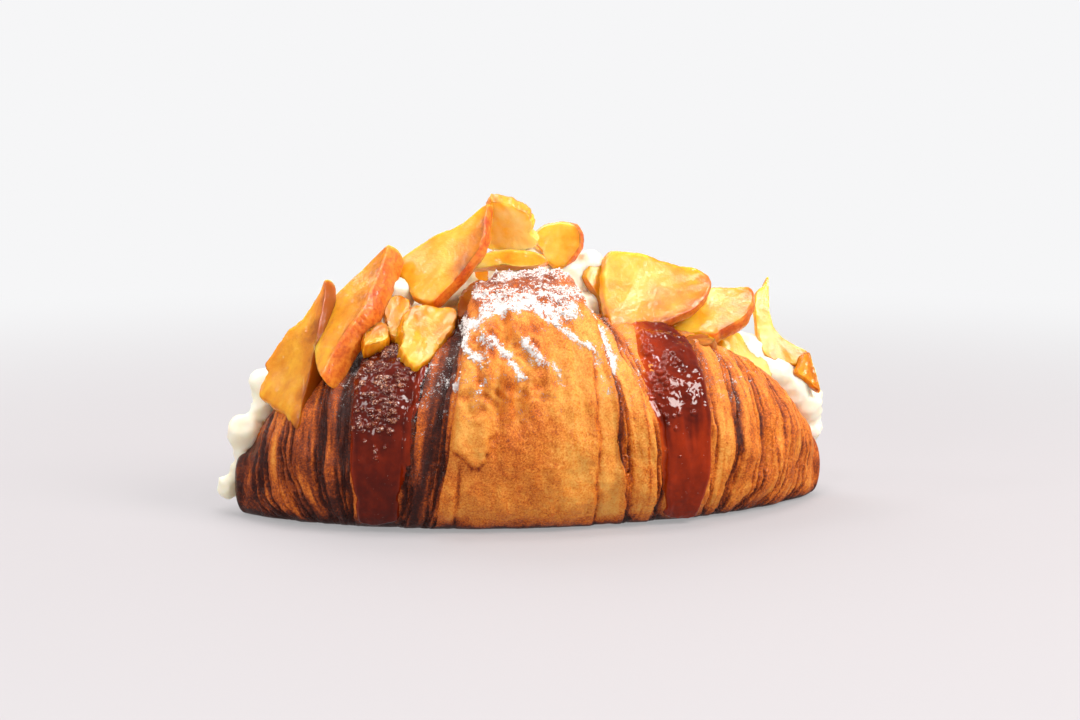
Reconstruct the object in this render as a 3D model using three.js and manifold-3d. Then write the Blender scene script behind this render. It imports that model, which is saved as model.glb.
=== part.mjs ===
// A filled croissant: a crescent of rolled, laminated dough, slit along its top and opened,
// with whipped cream and slices of poached apple in the slit and two runs of caramel down its front.
// Millimetres. +X runs from tip to tip, -Y is the convex front, +Z is up.
// The origin is the middle of the flat underside.

import * as THREE from "three";
import { mergeVertices } from "three/addons/utils/BufferGeometryUtils.js";
import Module from "manifold-3d";

const wasm = await Module();
wasm.setup();

// Driving dimensions of the dough.
const halfLength = 82; // from the middle to a tip
const crescentDepth = 17; // how far the tips lie behind the middle
const shoulderHeight = 55.5; // height at the middle, under the outer fold
const foldRise = 10; // the outer fold stands this much higher
const frontDepth = 34.5; // from the spine to the front of the belly
const backDepth = 26; // from the back lip to the back of the belly
const bellyShare = 0.42; // the belly is widest at this share of the height
const footShare = 0.62; // the flat underside reaches this share of the belly's depth
const undersideMiddle = 8; // from the spine back to the middle of the underside

// The wraps of the roll: each one ends at its edge with a step down towards the tip.
const foldMiddle = -5.6; // the outer fold sits a little to one side
const wrapEdges = [20, 29, 43, 49.5, 57, 65, 74]; // from the middle of the outer fold
const wrapStep = 2.4;
const foldSlant = 7; // the wraps nearest the outer fold lean in by this much at the top

// The slit along the top.
const lipOffset = 2; // from the spine back to the front lip, at the middle
const slitTipWidth = 6;
const slitExtraWidth = 14; // added at the middle
const slitTipFloor = 5;
const slitExtraFloor = 11; // added at the middle
const aboveEverything = 110;
const creamDome = 7; // the cream stands this much above the lips

const gap = 0.3; // clearance between touching pieces
const fruitGap = 0.5; // and around the bent slices of fruit
const creamGap = 0.6; // and between the dough and what lies in its slit
const smallestDetail = 0.03; // slivers thinner than this are merged away
const caramelThickness = 1.4;

const materials = {
  dough: new THREE.MeshStandardMaterial({ color: "#c4732b", roughness: 0.6 }),
  cream: new THREE.MeshStandardMaterial({ color: "#f6ead2", roughness: 0.5 }),
  fruit: new THREE.MeshStandardMaterial({ color: "#f0ab3c", roughness: 0.25 }),
  caramel: new THREE.MeshStandardMaterial({ color: "#7a2c10", roughness: 0.12 }),
};

// ---- Solids and geometry ----

function solidOf(geometry) {
  const merged = mergeVertices(geometry, 1e-4);
  const mesh = new wasm.Mesh({
    numProp: 3,
    vertProperties: merged.attributes.position.array,
    triVerts: new Uint32Array(merged.index.array),
  });
  return new wasm.Manifold(mesh);
}

function geometryOf(solid) {
  const mesh = solid.getMesh();
  return new THREE.BufferGeometry()
    .setAttribute("position", new THREE.BufferAttribute(mesh.vertProperties, 3))
    .setIndex(new THREE.BufferAttribute(mesh.triVerts, 1));
}

// Cutting can leave crumbs and slivers behind: only the biggest body is the piece.
function biggestBody(solid) {
  const bodies = solid.simplify(smallestDetail).decompose();
  return bodies.reduce((best, body) => (body.volume() > best.volume() ? body : best));
}

// A geometry from points and faces, with its faces turned to point outwards.
function closedGeometry(points, faces) {
  const corner = (i) => points[faces[i]];
  let volume = 0;
  for (let i = 0; i < faces.length; i += 3)
    volume += corner(i).dot(new THREE.Vector3().crossVectors(corner(i + 1), corner(i + 2)));
  if (volume < 0) faces.reverse();
  return new THREE.BufferGeometry().setFromPoints(points).setIndex(faces);
}

// A closed solid through rings of the same number of points, with a fan over each end.
function loft(rings) {
  const count = rings[0].length;
  const points = rings.flat();
  const faces = [];
  for (let i = 0; i + 1 < rings.length; i++)
    for (let j = 0; j < count; j++) {
      const here = i * count + j;
      const beside = i * count + ((j + 1) % count);
      faces.push(here, here + count, beside, beside, here + count, beside + count);
    }
  for (const [ring, start] of [[rings[0], 0], [rings.at(-1), points.length - count]]) {
    const centre = new THREE.Vector3();
    ring.forEach((point) => centre.addScaledVector(point, 1 / count));
    const middle = points.push(centre) - 1;
    for (let j = 0; j < count; j++) {
      const pair = [start + j, start + ((j + 1) % count)];
      faces.push(middle, ...(start ? pair.reverse() : pair));
    }
  }
  return closedGeometry(points, faces);
}

// A closed shell between two grids of points.
function shell(outer, inner) {
  const rows = outer.length;
  const columns = outer[0].length;
  const points = [...outer.flat(), ...inner.flat()];
  const faces = [];
  const quad = (a, b, c, d) => faces.push(a, b, c, b, d, c);
  const at = (side, i, j) => side * rows * columns + i * columns + j;
  for (let i = 0; i + 1 < rows; i++)
    for (let j = 0; j + 1 < columns; j++) {
      quad(at(0, i, j), at(0, i + 1, j), at(0, i, j + 1), at(0, i + 1, j + 1));
      quad(at(1, i, j), at(1, i, j + 1), at(1, i + 1, j), at(1, i + 1, j + 1));
    }
  for (let i = 0; i + 1 < rows; i++) {
    quad(at(0, i, 0), at(1, i, 0), at(0, i + 1, 0), at(1, i + 1, 0));
    quad(at(0, i, columns - 1), at(0, i + 1, columns - 1), at(1, i, columns - 1), at(1, i + 1, columns - 1));
  }
  for (let j = 0; j + 1 < columns; j++) {
    quad(at(0, 0, j), at(0, 0, j + 1), at(1, 0, j), at(1, 0, j + 1));
    quad(at(0, rows - 1, j), at(1, rows - 1, j), at(0, rows - 1, j + 1), at(1, rows - 1, j + 1));
  }
  return closedGeometry(points, faces);
}

// ---- The dough's shape ----

const fullness = (x, power) => Math.max(0, 1 - (x / halfLength) ** 2) ** power;
const smooth = (low, high, x) => THREE.MathUtils.smoothstep(x, low, high);

// A point at a distance behind the spine, measured square to the crescent.
function placed(x, behind, z) {
  const slope = (2 * crescentDepth * x) / halfLength ** 2;
  const scale = behind / Math.hypot(1, slope);
  return new THREE.Vector3(x - slope * scale, crescentDepth * (x / halfLength) ** 2 + scale, z);
}

// Each wrap swells towards its edge, then steps down.
function wrapLift(x) {
  const away = Math.abs(x - foldMiddle);
  const reach = halfLength - Math.sign(x - foldMiddle) * foldMiddle;
  const index = wrapEdges.findIndex((edge) => away < edge);
  if (index === 0) return wrapStep / 2;
  const start = wrapEdges.at(index < 0 ? -1 : index - 1);
  const end = index < 0 ? Math.max(reach, start + wrapStep) : wrapEdges[index];
  return wrapStep * ((away - start) / (end - start) - 0.5);
}

function section(x, grow) {
  const lift = wrapLift(x) * fullness(x, 0.3) + grow;
  const slitWidth = slitTipWidth + slitExtraWidth * fullness(x, 0.5);
  const lipFront = lipOffset * fullness(x, 0.5);
  return {
    lipFront,
    lipBack: lipFront + slitWidth,
    front: frontDepth * fullness(x, 0.58) + lift,
    back: lipFront + slitWidth + backDepth * fullness(x, 0.58) + lift,
    height: shoulderHeight * fullness(x, 0.47) + lift + foldRise * (1 - smooth(18, 25, Math.abs(x - foldMiddle))),
    floor: slitTipFloor + slitExtraFloor * fullness(x, 0.5),
  };
}

// The wraps beside the outer fold lean towards the middle as they rise.
function slanted(x, share) {
  const away = Math.abs(x - foldMiddle);
  const amount = smooth(0, 20, away) * (1 - smooth(26, 48, away));
  return x - Math.sign(x - foldMiddle) * foldSlant * amount * share ** 2;
}

// A point of the outside. turn goes from 0 at a lip, over the belly at 1, to the flat foot at 2.
function outsidePoint(x, side, turn, grow = 0) {
  const s = section(x, grow);
  const belly = side < 0 ? -s.front : s.back;
  const lip = side < 0 ? s.lipFront : s.lipBack;
  const bellyHeight = s.height * bellyShare;
  const angle = (Math.min(turn, 1) * Math.PI) / 2;
  const under = (Math.max(turn - 1, 0) * Math.PI) / 2;
  const foot = belly * footShare;
  const upper = turn <= 1;
  const behind = upper ? lip + (belly - lip) * Math.sin(angle) ** 0.9 : foot + (belly - foot) * Math.cos(under);
  const z = upper ? bellyHeight + (s.height - bellyHeight) * Math.cos(angle) ** 0.85 : bellyHeight * (1 - Math.sin(under));
  return placed(slanted(x, z / s.height), behind, z);
}

const upperTurns = [0, 0.14, 0.28, 0.42, 0.56, 0.7, 0.85, 1];
const lowerTurns = [1.2, 1.4, 1.6, 1.8, 2];

function doughRing(x, grow) {
  const turns = [...upperTurns, ...lowerTurns];
  const front = turns.map((turn) => outsidePoint(x, -1, turn, grow));
  const back = turns.map((turn) => outsidePoint(x, 1, turn, grow)).reverse();
  return [...front, ...back];
}

function stationsAlong() {
  const stepHalfWidth = 0.4;
  const tipRoom = 4;
  const stations = [foldMiddle];
  for (const side of [-1, 1]) {
    const reach = halfLength - side * foldMiddle;
    const edges = wrapEdges.filter((edge) => edge < reach - tipRoom);
    const along = [11, reach - 0.8];
    edges.forEach((edge, i) => {
      const next = edges[i + 1] ?? reach - 2;
      along.push(edge - stepHalfWidth, edge + stepHalfWidth);
      for (const share of [0.25, 0.5, 0.75]) along.push(THREE.MathUtils.lerp(edge, next, share));
    });
    stations.push(...along.map((away) => foldMiddle + side * away));
  }
  return stations.sort((a, b) => a - b);
}

// The slit's tool runs out past both tips. A negative shrink makes it narrower.
function slitTool(shrink) {
  const rings = [];
  for (let x = -96; x <= 96; x += 8) {
    const s = section(x, 0);
    const width = s.lipBack - s.lipFront - 2 * shrink;
    const start = s.lipFront + shrink;
    const floor = s.floor + shrink;
    const outline = [
      [start - 1, aboveEverything],
      [start + 0.18 * width, floor + 8],
      [start + 0.36 * width, floor],
      [start + 0.64 * width, floor],
      [start + 0.82 * width, floor + 8],
      [start + width + 1, aboveEverything],
    ];
    rings.push(outline.map(([behind, z]) => placed(x, behind, z)));
  }
  return solidOf(loft(rings));
}

// Grown dough also stands out past both tips.
function doughSolid(grow) {
  const rings = stationsAlong().map((x) => doughRing(x, grow));
  const movedEnd = (ring, along) => ring.map((point) => point.clone().setX(point.x + along));
  if (grow > 0) {
    rings.unshift(movedEnd(rings[0], -grow));
    rings.push(movedEnd(rings.at(-1), grow));
  }
  return solidOf(loft(rings)).subtract(slitTool(grow));
}

// ---- Caramel ----

// A run of caramel lies on one wrap, from its top end down the front to a rounded tongue.
function caramelGeometry({ from, to, top, bottom }, grow = 0) {
  const columns = 10;
  const rows = 24;
  const grid = (raise) => {
    const lines = [];
    for (let i = 0; i <= columns; i++) {
      const across = i / columns;
      const x = THREE.MathUtils.lerp(from - grow, to + grow, across);
      const tongue = Math.sqrt(Math.max(0, 1 - (2 * across - 1) ** 2));
      const line = [];
      for (let j = 0; j <= rows; j++) {
        const turn = THREE.MathUtils.lerp(top, bottom - 0.3 * (1 - tongue), j / rows);
        line.push(outsidePoint(x, -1, turn, raise));
      }
      lines.push(line);
    }
    return lines;
  };
  return shell(grid(gap + caramelThickness + grow), grid(gap - grow));
}

const caramelRuns = {
  caramel_run_left: { from: -48, to: -35.4, top: 0.1, bottom: 1.72 },
  caramel_run_right: { from: 24, to: 36.8, top: 0.1, bottom: 1.78 },
};

// ---- Fruit ----

// A slice or a chunk is a plate with rounded edges, cut to its own outline and thicker at its skin side.
// Its length runs along its own X, and its skin side faces its own Y. grow swells it all round.
function plateGeometry({ outline, thick }, grow = 0) {
  const wedge = 0.012;
  const layers = [
    [-0.5, 0.9],
    [-0.25, 1],
    [0.25, 1],
    [0.5, 0.9],
  ];
  return loft(
    layers.map(([level, size]) =>
      outline.map(([x, y]) => {
        const scale = size * (1 + grow / Math.hypot(x, y));
        const z = level * (thick * (1 + wedge * y) + 2 * grow);
        return new THREE.Vector3(x * scale, y * scale, z);
      }),
    ),
  );
}

// Every piece of fruit: a point inside it, the direction of its length, the direction that its skin faces,
// its thickness, and its outline around that point. Those nearer the front come first.
const fruit = {
  apple_slice_left_1: {
    at: [-61.9, 0.2, 45.7], along: [0.37, 0.19, 0.91], skin: [0.59, -0.81, -0.08], thick: 4.6,
    outline: [
      [19.7, -3.8], [16.2, -1.5], [5.8, 1.6], [-5.2, 4.2], [-14.9, 5.7], [-21.7, 6.9], [-18.5, -0.7],
      [-17.2, -7.4], [-16, -12.8], [-13.2, -13.5], [-9.1, -13.2], [-7, -16.1], [-3.1, -14.3], [3, -10.8],
      [8.8, -6.3], [16.1, -4],
    ],
  },
  apple_slice_left_2: {
    at: [-53.6, 1.8, 52.8], along: [0.45, 0.47, 0.76], skin: [0.61, -0.79, 0.12], thick: 6.8,
    outline: [
      [23.9, 7.1], [18.5, 7.9], [11.7, 9], [5.1, 9.8], [0.5, 9.7], [-3.6, 8.6], [-9.7, 7.5], [-14.8, 6.7],
      [-19.6, 6.4], [-15.6, 1.5], [-7.3, -4.4], [0.1, -6.5], [6.7, -5.6], [10.9, -3.3], [15.4, -0.3],
      [20.2, 3.7],
    ],
  },
  apple_slice_left_3: {
    at: [-20.7, 1.9, 71], along: [0.73, -0.05, 0.69], skin: [0.45, -0.72, -0.52], thick: 4.2,
    outline: [
      [14.6, -5.6], [11, -1.8], [7.9, 1.6], [4.3, 3.9], [0, 4.7], [-5, 5.3], [-9.6, 5.4], [-14.1, 5.5],
      [-16.3, 3.9], [-17.8, -0.6], [-16.9, -6], [-16.3, -10.4], [-13.7, -12.9], [-9.5, -12.3],
      [-5.4, -11.2], [-1.2, -10.3], [2.8, -8], [7.6, -6.4], [11.3, -6.2],
    ],
  },
  apple_slice_top: {
    at: [-6, 10.4, 78.2], along: [-0.6, -0.27, 0.75], skin: [0.79, -0.36, 0.5], thick: 4.2,
    outline: [
      [9.4, -2], [10.5, 0.3], [8.3, 3.1], [4.7, 5.7], [0.7, 6.7], [-2.3, 5.4], [-3.7, 3.5], [-7.1, 4],
      [-8.6, 1.7], [-6.7, -2.4], [-4.2, -6.7], [-1.1, -9], [4.1, -6.5],
    ],
  },
  apple_slice_flat: {
    at: [-9.1, 6.7, 69.7], along: [1, 0.01, 0.02], skin: [0.03, -0.27, -0.96], thick: 7,
    outline: [
      [11, 0.6], [11.5, 2.3], [8.9, 3.3], [3.8, 3.3], [-1.7, 2.8], [-5.8, 3.2], [-8.3, 3.1], [-8.5, 1.1],
      [-7, -0.2], [-3.6, -1.4], [1.4, -1.8], [7.5, -1],
    ],
  },
  apple_slice_middle: {
    at: [7.9, 12.6, 73.9], along: [0.95, -0.3, 0.13], skin: [0.06, -0.23, -0.97], thick: 4.2,
    outline: [
      [4.9, -3.7], [6.1, -1.9], [6.4, 0.4], [5.6, 3.1], [3.7, 5.4], [1.2, 7.9], [-1.6, 7.9], [-4.3, 5.9],
      [-5.3, 2.4], [-7.1, 0], [-7.1, -2.6], [-3.5, -4.4], [0.7, -4.8],
    ],
  },
  apple_slice_right_1: {
    at: [20.6, 7.3, 57.4], along: [-0.23, 0.34, 0.91], skin: [-0.96, -0.23, -0.16], thick: 3.6,
    outline: [
      [-9, 2.1], [-6.3, 3.4], [-1.3, 3.3], [3.2, 4], [7.7, 5.3], [11, 2.7], [10.6, -0.3], [6.4, -2],
      [-0.9, -1.5], [-6.6, -0.2],
    ],
  },
  apple_slice_right_2: {
    at: [31.5, 4.9, 59.8], along: [0.98, 0.13, 0.12], skin: [0.17, -0.54, -0.83], thick: 4.8,
    outline: [
      [17.8, -0.6], [17.3, 2.8], [14, 6.7], [9.7, 9.1], [4.8, 10.4], [-0.6, 11.7], [-6.1, 12.3],
      [-10.9, 11.7], [-14.4, 10.5], [-14.6, 5.2], [-13.7, -0.9], [-11.9, -7], [-9.7, -11.7],
      [-7.4, -13.6], [-2.9, -12.5], [1.6, -10.5], [5.9, -7.8], [10.6, -5.4], [15.1, -3.7],
    ],
  },
  apple_slice_right_3: {
    at: [52.3, 6.9, 52.6], along: [0.9, 0.23, 0.37], skin: [0.41, -0.72, -0.55], thick: 4.6,
    outline: [
      [12.2, -2.6], [11.8, 0.3], [9.2, 3.6], [5.1, 6.3], [0.8, 7.1], [-4, 7], [-6.9, 7.3], [-9.5, 4.3],
      [-13.2, 1.9], [-15, -1.5], [-13.8, -5.2], [-8.2, -7.4], [-1.6, -9], [3.3, -8], [7.5, -5.2],
    ],
  },
  apple_slice_twisted: {
    at: [66.3, 13.2, 45.4], along: [-0.27, 0.39, 0.88], skin: [0.95, 0.26, 0.18], thick: 2,
    outline: [
      [-8.3, 12.2], [-10.9, 7.4], [-8.8, 1.8], [-5.9, -1], [-1.2, -1.4], [4.6, 0.4], [9, 1.6],
      [12.6, 3.7], [14.1, 6.7], [16.3, 9.3], [10.8, 7], [5.6, 5.2], [0.6, 5.1], [-3, 7], [-5.9, 9.8],
    ],
  },
  apple_slice_end: {
    at: [79.9, 10.3, 35.4], along: [-0.3, 0.22, 0.93], skin: [0.89, 0.41, 0.19], thick: 2.4,
    outline: [
      [5, 1.9], [1.8, 1.6], [-2.1, 1.4], [-6.8, 0.8], [-4.4, -1.2], [-1.5, -2.9], [0.6, -5.1],
      [3.3, -2.7], [5, -0.4],
    ],
  },
  apple_slab_right: {
    at: [60.4, 8.9, 40.5], along: [-0.68, 0.16, 0.72], skin: [0.63, 0.63, 0.45], thick: 3.2,
    outline: [
      [6, 3.3], [2.4, 2.3], [-1.7, 3], [-6.2, 3.7], [-9.5, 1.7], [-10.1, -3.1], [-8.3, -6.8],
      [-4.8, -6.3], [-1.1, -5], [2.9, -4.6], [6.6, -5.8], [8.2, -3.3],
    ],
  },
  apple_chunk_front: {
    at: [-32.5, -7.8, 49.3], along: [0.45, 0.68, 0.58], skin: [-0.89, 0.31, 0.33], thick: 8,
    outline: [
      [11.2, -3.7], [8.4, -5.3], [3.1, -5.9], [-1.4, -5.6], [-5.7, -5], [-9.6, -4.2], [-13.7, -1.6],
      [-11.5, 1.6], [-9, 4.3], [-5.7, 4.8], [-1.7, 7], [3, 8], [6.6, 6.5], [8.1, 3.9], [9.3, 0],
    ],
  },
  apple_chunk_small_1: {
    at: [-39.9, -2.2, 52.8], along: [0.09, 0.75, 0.66], skin: [0.99, -0.14, 0.02], thick: 5,
    outline: [
      [7.6, -2], [9, 1], [6.7, 3.7], [1.2, 4.5], [-4.2, 2.7], [-6.7, 1.3], [-5.9, -1.1], [-1.9, -2.4],
      [3.3, -3],
    ],
  },
  apple_chunk_small_2: {
    at: [-45.8, -5.8, 49.5], along: [0.55, 0.67, 0.5], skin: [-0.84, 0.42, 0.35], thick: 5,
    outline: [
      [1.9, 2.5], [4.9, 1.4], [4.1, -1.7], [0.9, -3.8], [-2.5, -2.6], [-6, 0.1], [-2.9, 2.3],
    ],
  },
  apple_chunk_skin: {
    at: [-20.1, 1.1, 57.4], along: [0.45, 0.58, 0.68], skin: [-0.84, 0.54, 0.09], thick: 4,
    outline: [
      [-0.9, 1.8], [2.7, 2], [5.5, 0.7], [7.7, -1.4], [5.8, -3.1], [2, -2.2], [-1.6, -2.4], [-5.3, -2.1],
      [-6.3, -0.4],
    ],
  },
  apple_chunk_under_right: {
    at: [41.1, -8.2, 45], along: [0.85, 0.48, 0.2], skin: [-0.52, 0.82, 0.23], thick: 4.5,
    outline: [
      [-2, 2.7], [3, 4.2], [6.6, 2], [7, -1.9], [3.5, -3.8], [0.1, -2.6], [-2.8, -1.7], [-3.8, 0],
    ],
  },
  apple_slice_back_1: {
    at: [-38, 23, 55], along: [0.85, -0.1, 0.42], skin: [-0.35, 0.45, 0.85], thick: 4.2,
    outline: [
      [18, -3], [15, 3.5], [8, 8.5], [0, 10.5], [-8, 8.5], [-15, 3.5], [-18, -3], [-10, -7], [0, -8.5],
      [10, -7],
    ],
  },
  apple_slice_back_2: {
    at: [0, 24, 63], along: [0.97, 0.05, 0.1], skin: [-0.1, 0.4, 0.9], thick: 4.2,
    outline: [
      [18, -3], [15, 3.5], [8, 8.5], [0, 10.5], [-8, 8.5], [-15, 3.5], [-18, -3], [-10, -7], [0, -8.5],
      [10, -7],
    ],
  },
  apple_slice_back_3: {
    at: [37, 24, 53], along: [0.9, -0.1, -0.35], skin: [0.3, 0.45, 0.83], thick: 4.2,
    outline: [
      [18, -3], [15, 3.5], [8, 8.5], [0, 10.5], [-8, 8.5], [-15, 3.5], [-18, -3], [-10, -7], [0, -8.5],
      [10, -7],
    ],
  },
};

// Turns a piece's own X along its length and its own Y towards its skin side.
function place(mesh, { at, along, skin }) {
  const lengthAxis = new THREE.Vector3(...along).normalize();
  const faceAxis = new THREE.Vector3().crossVectors(lengthAxis, new THREE.Vector3(...skin)).normalize();
  const skinAxis = new THREE.Vector3().crossVectors(faceAxis, lengthAxis);
  mesh.quaternion.setFromRotationMatrix(new THREE.Matrix4().makeBasis(lengthAxis, skinAxis, faceAxis));
  mesh.position.set(...at);
  mesh.updateMatrix();
}

// ---- Cream ----

// The cream fills the slit, domes above its lips and is squeezed out in lobes at both ends.
const creamLobes = [
  { at: [-75.5, 16, 34.5], radius: 5.4 },
  { at: [-76.8, 13.5, 26.5], radius: 6.4 },
  { at: [-80.7, 13.5, 21.2], radius: 6 },
  { at: [-83, 14, 14.5], radius: 4.4 },
  { at: [-84.6, 14, 8.2], radius: 4 },
  { at: [-38.4, 4, 60.5], radius: 5 },
  { at: [16.2, 10, 67.5], radius: 5 },
  { at: [-52, 14, 45], radius: 7 },
  { at: [-22, 14, 59], radius: 8 },
  { at: [-3, 16, 64], radius: 9 },
  { at: [11, 16, 62], radius: 8 },
  { at: [36, 14, 54], radius: 7 },
  { at: [61.5, 15, 39], radius: 7 },
  { at: [69.5, 16, 34.5], radius: 8.4 },
  { at: [75, 16, 30.5], radius: 8 },
  { at: [79.8, 16, 24.8], radius: 5.8 },
  { at: [81.5, 16, 18], radius: 4.4 },
];

function creamSolid() {
  const rings = [];
  for (let x = -78; x <= 78; x += 12) {
    const s = section(x, 0);
    const width = s.lipBack - s.lipFront;
    const floor = s.floor + creamGap;
    const deep = shoulderHeight * fullness(x, 0.47) + creamDome - floor;
    const outline = [
      [0.3, 0], [0.7, 0], [0.9, 0.3], [1, 0.8], [0.85, 0.92], [0.5, 1], [0.15, 0.92], [0, 0.8], [0.1, 0.3],
    ];
    const ring = outline.map(([across, up]) => placed(x, s.lipFront + across * width, floor + up * deep));
    rings.push(ring);
  }
  return creamLobes.reduce((cream, { at, radius }) => {
    const lobe = new THREE.SphereGeometry(radius, 10, 7).deleteAttribute("normal").deleteAttribute("uv");
    return cream.add(solidOf(lobe.translate(...at)));
  }, solidOf(loft(rings)));
}

// ---- Assembly ----

const croissant = new THREE.Group();
croissant.position.y = -undersideMiddle;

function addPiece(name, geometry, material, placing) {
  const mesh = new THREE.Mesh(geometry, material);
  mesh.name = name;
  if (placing) place(mesh, placing);
  croissant.add(mesh);
  return mesh;
}

const dough = biggestBody(doughSolid(0));
const doughWithGap = doughSolid(creamGap);
addPiece("croissant_dough", geometryOf(dough), materials.dough);
const taken = [doughWithGap];
for (const [name, run] of Object.entries(caramelRuns)) {
  addPiece(name, caramelGeometry(run), materials.caramel);
  taken.push(solidOf(caramelGeometry(run, gap)));
}

// Each piece of fruit gives way to those before it, and the cream gives way to all of them.
for (const [name, piece] of Object.entries(fruit)) {
  const mesh = addPiece(name, plateGeometry(piece), materials.fruit, piece);
  const placedSolid = solidOf(plateGeometry(piece).applyMatrix4(mesh.matrix));
  const free = biggestBody(placedSolid.subtract(wasm.Manifold.union(taken)));
  mesh.geometry = geometryOf(free).applyMatrix4(mesh.matrix.clone().invert());
  taken.push(solidOf(plateGeometry(piece, fruitGap).applyMatrix4(mesh.matrix)));
}
addPiece("cream_filling", geometryOf(biggestBody(creamSolid().subtract(wasm.Manifold.union(taken)))), materials.cream);

export default croissant;
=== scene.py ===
# A filled croissant on a pale studio floor. Lengths are in millimetres until a mesh is made.
import math
import random

import bpy
import numpy as np
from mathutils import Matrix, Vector, noise


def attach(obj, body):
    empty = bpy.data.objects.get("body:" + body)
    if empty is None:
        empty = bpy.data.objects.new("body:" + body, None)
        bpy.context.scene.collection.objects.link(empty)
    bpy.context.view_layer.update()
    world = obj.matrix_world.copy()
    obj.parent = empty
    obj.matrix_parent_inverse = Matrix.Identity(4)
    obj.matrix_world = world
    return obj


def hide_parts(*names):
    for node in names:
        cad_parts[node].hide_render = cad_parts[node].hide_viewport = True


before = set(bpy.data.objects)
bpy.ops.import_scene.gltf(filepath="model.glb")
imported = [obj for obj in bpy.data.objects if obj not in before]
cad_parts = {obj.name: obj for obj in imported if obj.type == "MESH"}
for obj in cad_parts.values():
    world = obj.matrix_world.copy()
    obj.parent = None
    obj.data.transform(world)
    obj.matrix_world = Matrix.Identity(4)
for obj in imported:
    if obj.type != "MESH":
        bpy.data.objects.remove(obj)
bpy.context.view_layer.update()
bpy.ops.object.select_all(action="DESELECT")
mm = 0.001
print("frame loaded,", len(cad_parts), "nodes")


# Small maths on whole arrays of points

def smooth(low, high, x):
    # rises from 0 at low to 1 at high
    t = np.clip((x - low) / (high - low), 0, 1)
    return t * t * (3 - 2 * t)


def ridge(distance, width):
    # 1 at no distance, and nearly 0 at twice the width
    return np.exp(-((distance / width) ** 2))


def joined(*parts):
    # points from their three coordinates
    return np.stack(np.broadcast_arrays(*parts), axis=-1)


def lumps(points, size, seed=0.0):
    # soft noise from -1 to 1, with lumps of about that size
    places = (points / size + seed * 7.31).reshape(-1, 3).tolist()
    return np.array([noise.noise(p) for p in places]).reshape(points.shape[:-1])


def wander(t, seed):
    # a slow line that wanders from -1 to 1
    pick = random.Random(seed)
    return sum(np.sin(t * pick.uniform(1.5, 3.5) * k + pick.uniform(0, 6.3)) / k for k in (1, 2, 3)) / 1.8


def outwards(points):
    # the direction out of a sheet whose last row is its first
    alongColumns = np.gradient(points, axis=1)
    longer = np.concatenate([points[-2:-1], points, points[1:2]])
    alongRows = (longer[2:] - longer[:-2]) / 2
    out = np.cross(alongRows, alongColumns)
    return out / (np.linalg.norm(out, axis=-1, keepdims=True) + 1e-9)


def readPoints(vertices, kind="co"):
    values = np.empty(len(vertices) * 3)
    vertices.foreach_get(kind, values)
    return values.reshape(-1, 3)


def makeSheet(name, points, marks):
    # a grid laid onto the points, with its seams and poles merged; marks are numbers kept on its vertices
    rows, columns = points.shape[:2]
    bpy.ops.mesh.primitive_grid_add(x_subdivisions=columns - 1, y_subdivisions=rows - 1, size=1)
    piece = bpy.context.object
    piece.name = piece.data.name = name
    flat = readPoints(piece.data.vertices) + 0.5
    column, row = (np.rint(flat[:, i] * (count - 1)).astype(int) for i, count in ((0, columns), (1, rows)))
    piece.data.vertices.foreach_set("co", (points[row, column] * mm).ravel())
    for mark, values in marks.items():
        spread = np.broadcast_to(values, (rows, columns))[row, column]
        attribute = piece.data.attributes.new(mark, "FLOAT", "POINT")
        attribute.data.foreach_set("value", spread.astype(np.float32))
    closeMesh(piece)
    return piece


def volume(mesh):
    # the space inside a closed mesh, which is negative when its faces point inwards
    mesh.calc_loop_triangles()
    corners = np.empty(len(mesh.loop_triangles) * 3, dtype=int)
    mesh.loop_triangles.foreach_get("vertices", corners)
    a, b, c = readPoints(mesh.vertices)[corners.reshape(-1, 3)].swapaxes(0, 1)
    return (a * np.cross(b, c)).sum() / 6


def closeMesh(piece):
    bpy.ops.object.mode_set(mode="EDIT")
    bpy.ops.mesh.select_all(action="SELECT")
    bpy.ops.mesh.remove_doubles(threshold=1e-6)
    bpy.ops.mesh.normals_make_consistent(inside=False)
    bpy.ops.object.mode_set(mode="OBJECT")
    if volume(piece.data) < 0:
        piece.data.flip_normals()
    bpy.ops.object.shade_smooth()


def finishPiece(piece, material, slot, *nodes):
    piece.data.materials.clear()
    piece.data.materials.append(material)
    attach(piece, "root")
    if nodes:
        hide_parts(*nodes)
    piece.select_set(False)


# Materials. They read marks on their meshes, and noises, each with a size in mm, a detail and a roughness.

def fromHex(text):
    # an sRGB colour turned to linear
    parts = [int(text[i:i + 2], 16) / 255 for i in (1, 3, 5)]
    return tuple(c / 12.92 if c < 0.04045 else ((c + 0.055) / 1.055) ** 2.4 for c in parts) + (1.0,)


def setInputs(node, inputs):
    for key, value in inputs.items():
        if isinstance(value, bpy.types.NodeSocket):
            node.id_data.links.new(value, node.inputs[key])
        else:
            node.inputs[key].default_value = value


def addNode(owner, kind, inputs, output=0, **settings):
    # a node with its settings and links, which gives back one of its outputs
    node = owner.node_tree.nodes.new("ShaderNode" + kind)
    for key, value in settings.items():
        setattr(node, key, value)
    setInputs(node, inputs)
    return node.outputs[output]


def newMaterial(name, marks=(), noises=()):
    material = bpy.data.materials.new(name)
    material.use_nodes = True
    place = addNode(material, "TexCoord", {}, "Object") if noises else None
    read = [addNode(material, "Attribute", {}, "Fac", attribute_name=mark) for mark in marks]
    for size, detail, roughness in noises:
        read.append(addNode(material, "TexNoise", {
            "Vector": place, "Scale": 1 / (size * mm), "Detail": detail, "Roughness": roughness}))
    return material, material.node_tree.nodes["Principled BSDF"], *read


def addUp(owner, total, *parts):
    # a number plus each part times its weight
    for part, weight in parts:
        total = addNode(owner, "Math", {0: part, 1: weight, 2: total}, operation="MULTIPLY_ADD")
    return total


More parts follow.
